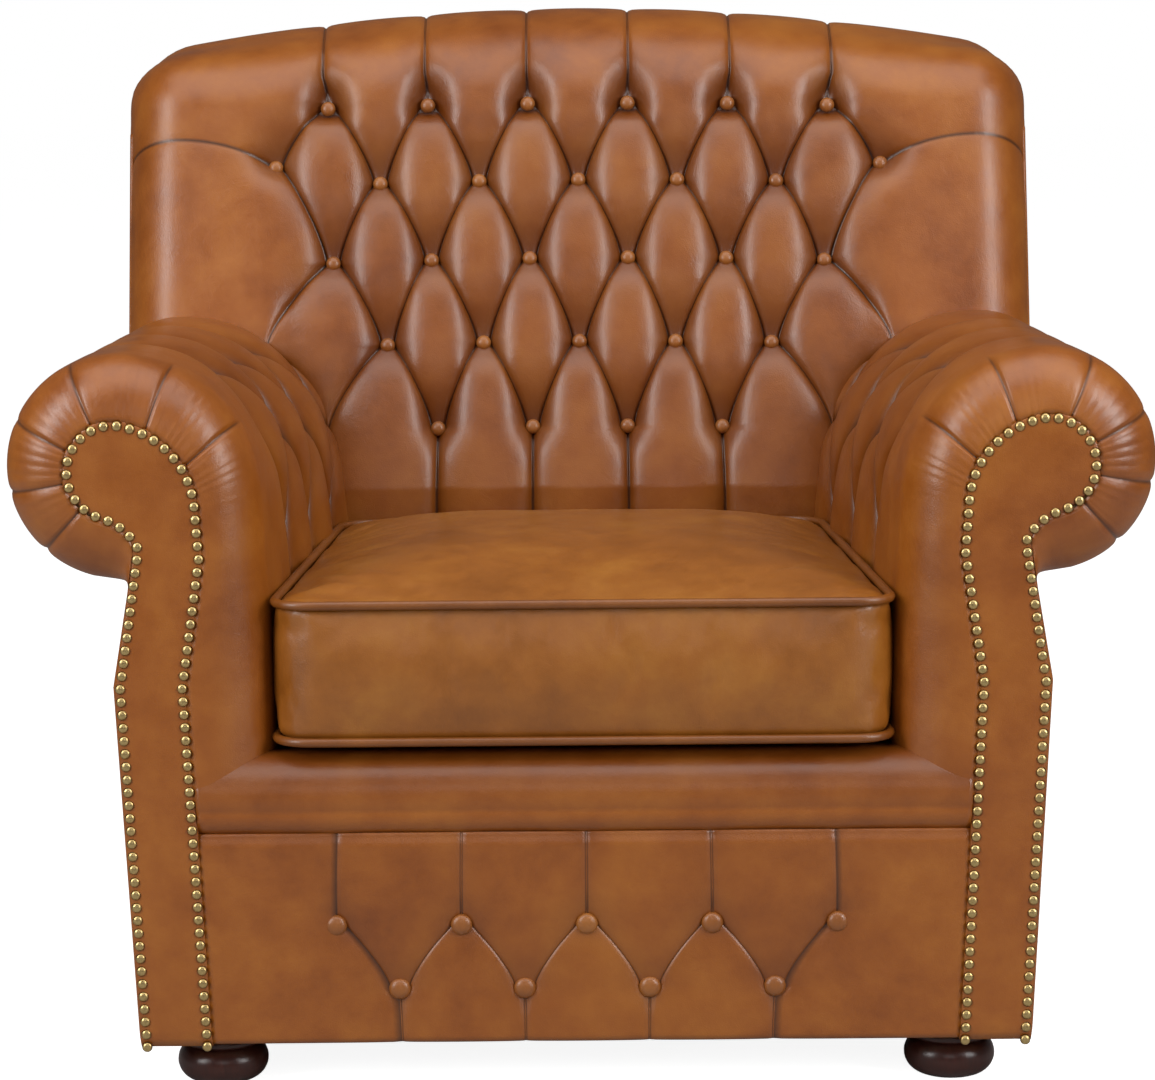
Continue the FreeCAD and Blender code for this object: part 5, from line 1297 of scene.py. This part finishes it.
# Side borders of the back: narrow leather panels over the wing boards, between the inside back and
# the outside back. Each runs up into the end of the roll.
BORDER_RISE = 34.0
BORDER_ROLL_HALF = 84.0
for side, name in SIDES:
    z = ROLL_CENTRE[1] + np.concatenate([-np.linspace(250.0, 4.0, 36),
                                         BORDER_RISE * np.sin(np.linspace(0, math.pi / 2, 24))])
    climbed = np.maximum(z - ROLL_CENTRE[1], 0.0) / (BORDER_RISE + 0.5)
    over = BORDER_ROLL_HALF * np.sqrt(np.maximum(1 - climbed ** 2, 0.0))
    low_y = np.where(z > ROLL_CENTRE[1], ROLL_CENTRE[0] - over,
                     BACK_FACE_Y + (z - LEAN_START) * math.tan(BACK_RAKE) + 47.0)
    high_y = np.minimum(post_line_y(z) + OUTSIDE_BACK_PROUD,
                        np.where(z > ROLL_CENTRE[1], ROLL_CENTRE[0] + over, 1e6))
    x = np.full(len(z), (BACK_HALF - 1.5) * side)
    form = upholstered_panel(np.stack([x, low_y, z], -1), np.stack([x, high_y, z], -1),
                             (side, 0.0, 0.0), 4.0, rise=1.2, reach=10.0, columns=20)
    panel = add_piece(name + "_back_side_panel", *form, cover_leather, "chair", "cover_leather")
    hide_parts(name + "_back_border")


def plain_material(name, dark, light, grain_size, roughness, metallic=0.0, stretch=(1.0, 1.0, 1.0)):
    """A material of two tones mixed by noise, stretched along a grain where stretch says so."""
    material = new_material(name)
    tree = material.node_tree
    place = add_node(tree, "ShaderNodeTexCoord")
    along = add_node(tree, "ShaderNodeMapping", {}, {"Vector": place.outputs["Object"], "Scale": stretch})
    grain = add_node(tree, "ShaderNodeTexNoise", {}, {
        "Vector": along.outputs[0], "Scale": 1000 / grain_size, "Detail": 6.0, "Roughness": 0.6,
        "Distortion": 0.6})
    tone = add_node(tree, "ShaderNodeMix", {"data_type": "RGBA"}, {
        0: grain.outputs["Fac"], 6: linear(dark), 7: linear(light)})
    bump = add_node(tree, "ShaderNodeBump", {}, {
        "Height": grain.outputs["Fac"], "Strength": 0.4, "Distance": 0.0004})
    shader = add_node(tree, "ShaderNodeBsdfPrincipled", {}, {
        "Base Color": tone.outputs[2], "Roughness": roughness, "Metallic": metallic,
        "Normal": bump.outputs[0]})
    add_node(tree, "ShaderNodeOutputMaterial", {}, {"Surface": shader.outputs[0]})
    return material


# Seat deck: a thin pad under black platform cloth, seen only when the cushion is lifted out. The
# cloth is close-woven cotton, dull and lint-grey where the light catches it.
platform_cloth = plain_material("black_platform_cloth", "#0E0D0C", "#2A2724", 1.6, 0.92)
deck_low, deck_high = np.array(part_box("seat_deck_cloth")) * 1000
deck_thick = deck_high[2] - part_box("seat_deck_pad")[0][2] * 1000
deck_line = np.linspace(deck_low[1], deck_high[1], 50)
edges = [np.stack([np.full(50, x), deck_line, np.full(50, deck_high[2])], -1)
         for x in (deck_low[0], deck_high[0])]
form = upholstered_panel(*edges, (0.0, 0.0, 1.0), deck_thick, rise=5.0, reach=60.0, columns=50)
deck = add_piece("seat_deck", *form, platform_cloth, "chair", "platform_cloth")
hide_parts("seat_deck_cloth", "seat_deck_pad")

# Bun feet: turned from mahogany, which is stained nearly black and waxed, so that its close upright
# grain only shows where the light glances off it. They stay as built.
mahogany = plain_material("dark_mahogany", "#1E0B07", "#4A2015", 5.0, 0.3, stretch=(1.0, 1.0, 0.18))

# Frame timber, stuffing, springs and fixings stay as built, each in its own real material: pale
# beech with a long grain, cream foam with an open dull surface, coarse brown hessian, matt black
# webbing and cambric, blue-grey spring steel, bright zinc and brown zip tape.
beech = plain_material("steamed_beech", "#B98A5A", "#D9B384", 9.0, 0.6, stretch=(0.15, 1.0, 1.0))
foam = plain_material("stuffing_foam", "#D8CDA8", "#EFE6C8", 3.0, 0.95)
hessian = plain_material("jute_hessian", "#8A6B3F", "#B8965F", 2.2, 0.95)
webbing = plain_material("rubberised_webbing", "#2B2B2E", "#4B4A4D", 3.0, 0.85)
cambric = plain_material("black_cambric", "#101010", "#262626", 1.4, 0.95)
spring_steel = plain_material("blued_spring_steel", "#3C4148", "#5C646C", 6.0, 0.38, metallic=1.0)
zinc = plain_material("zinc_plated_steel", "#8C8F90", "#B8BBBC", 4.0, 0.34, metallic=1.0)
zip_tape = plain_material("brown_zip_tape", "#2E1A0C", "#4A2C16", 1.5, 0.8)
as_built = {
    "bun_feet": mahogany, "cushion_core": foam, "seat_springs": spring_steel, "spring_clips": spring_steel,
    "block_screws": zinc, "foot_bolts": zinc, "seat_hessian": hessian, "back_webbing": webbing,
    "dust_cover": cambric, "cushion_zip": zip_tape}
for name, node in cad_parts.items():
    node.data.materials.clear()
    node.data.materials.append(foam if name.endswith("_pad") else as_built.get(name, beech))
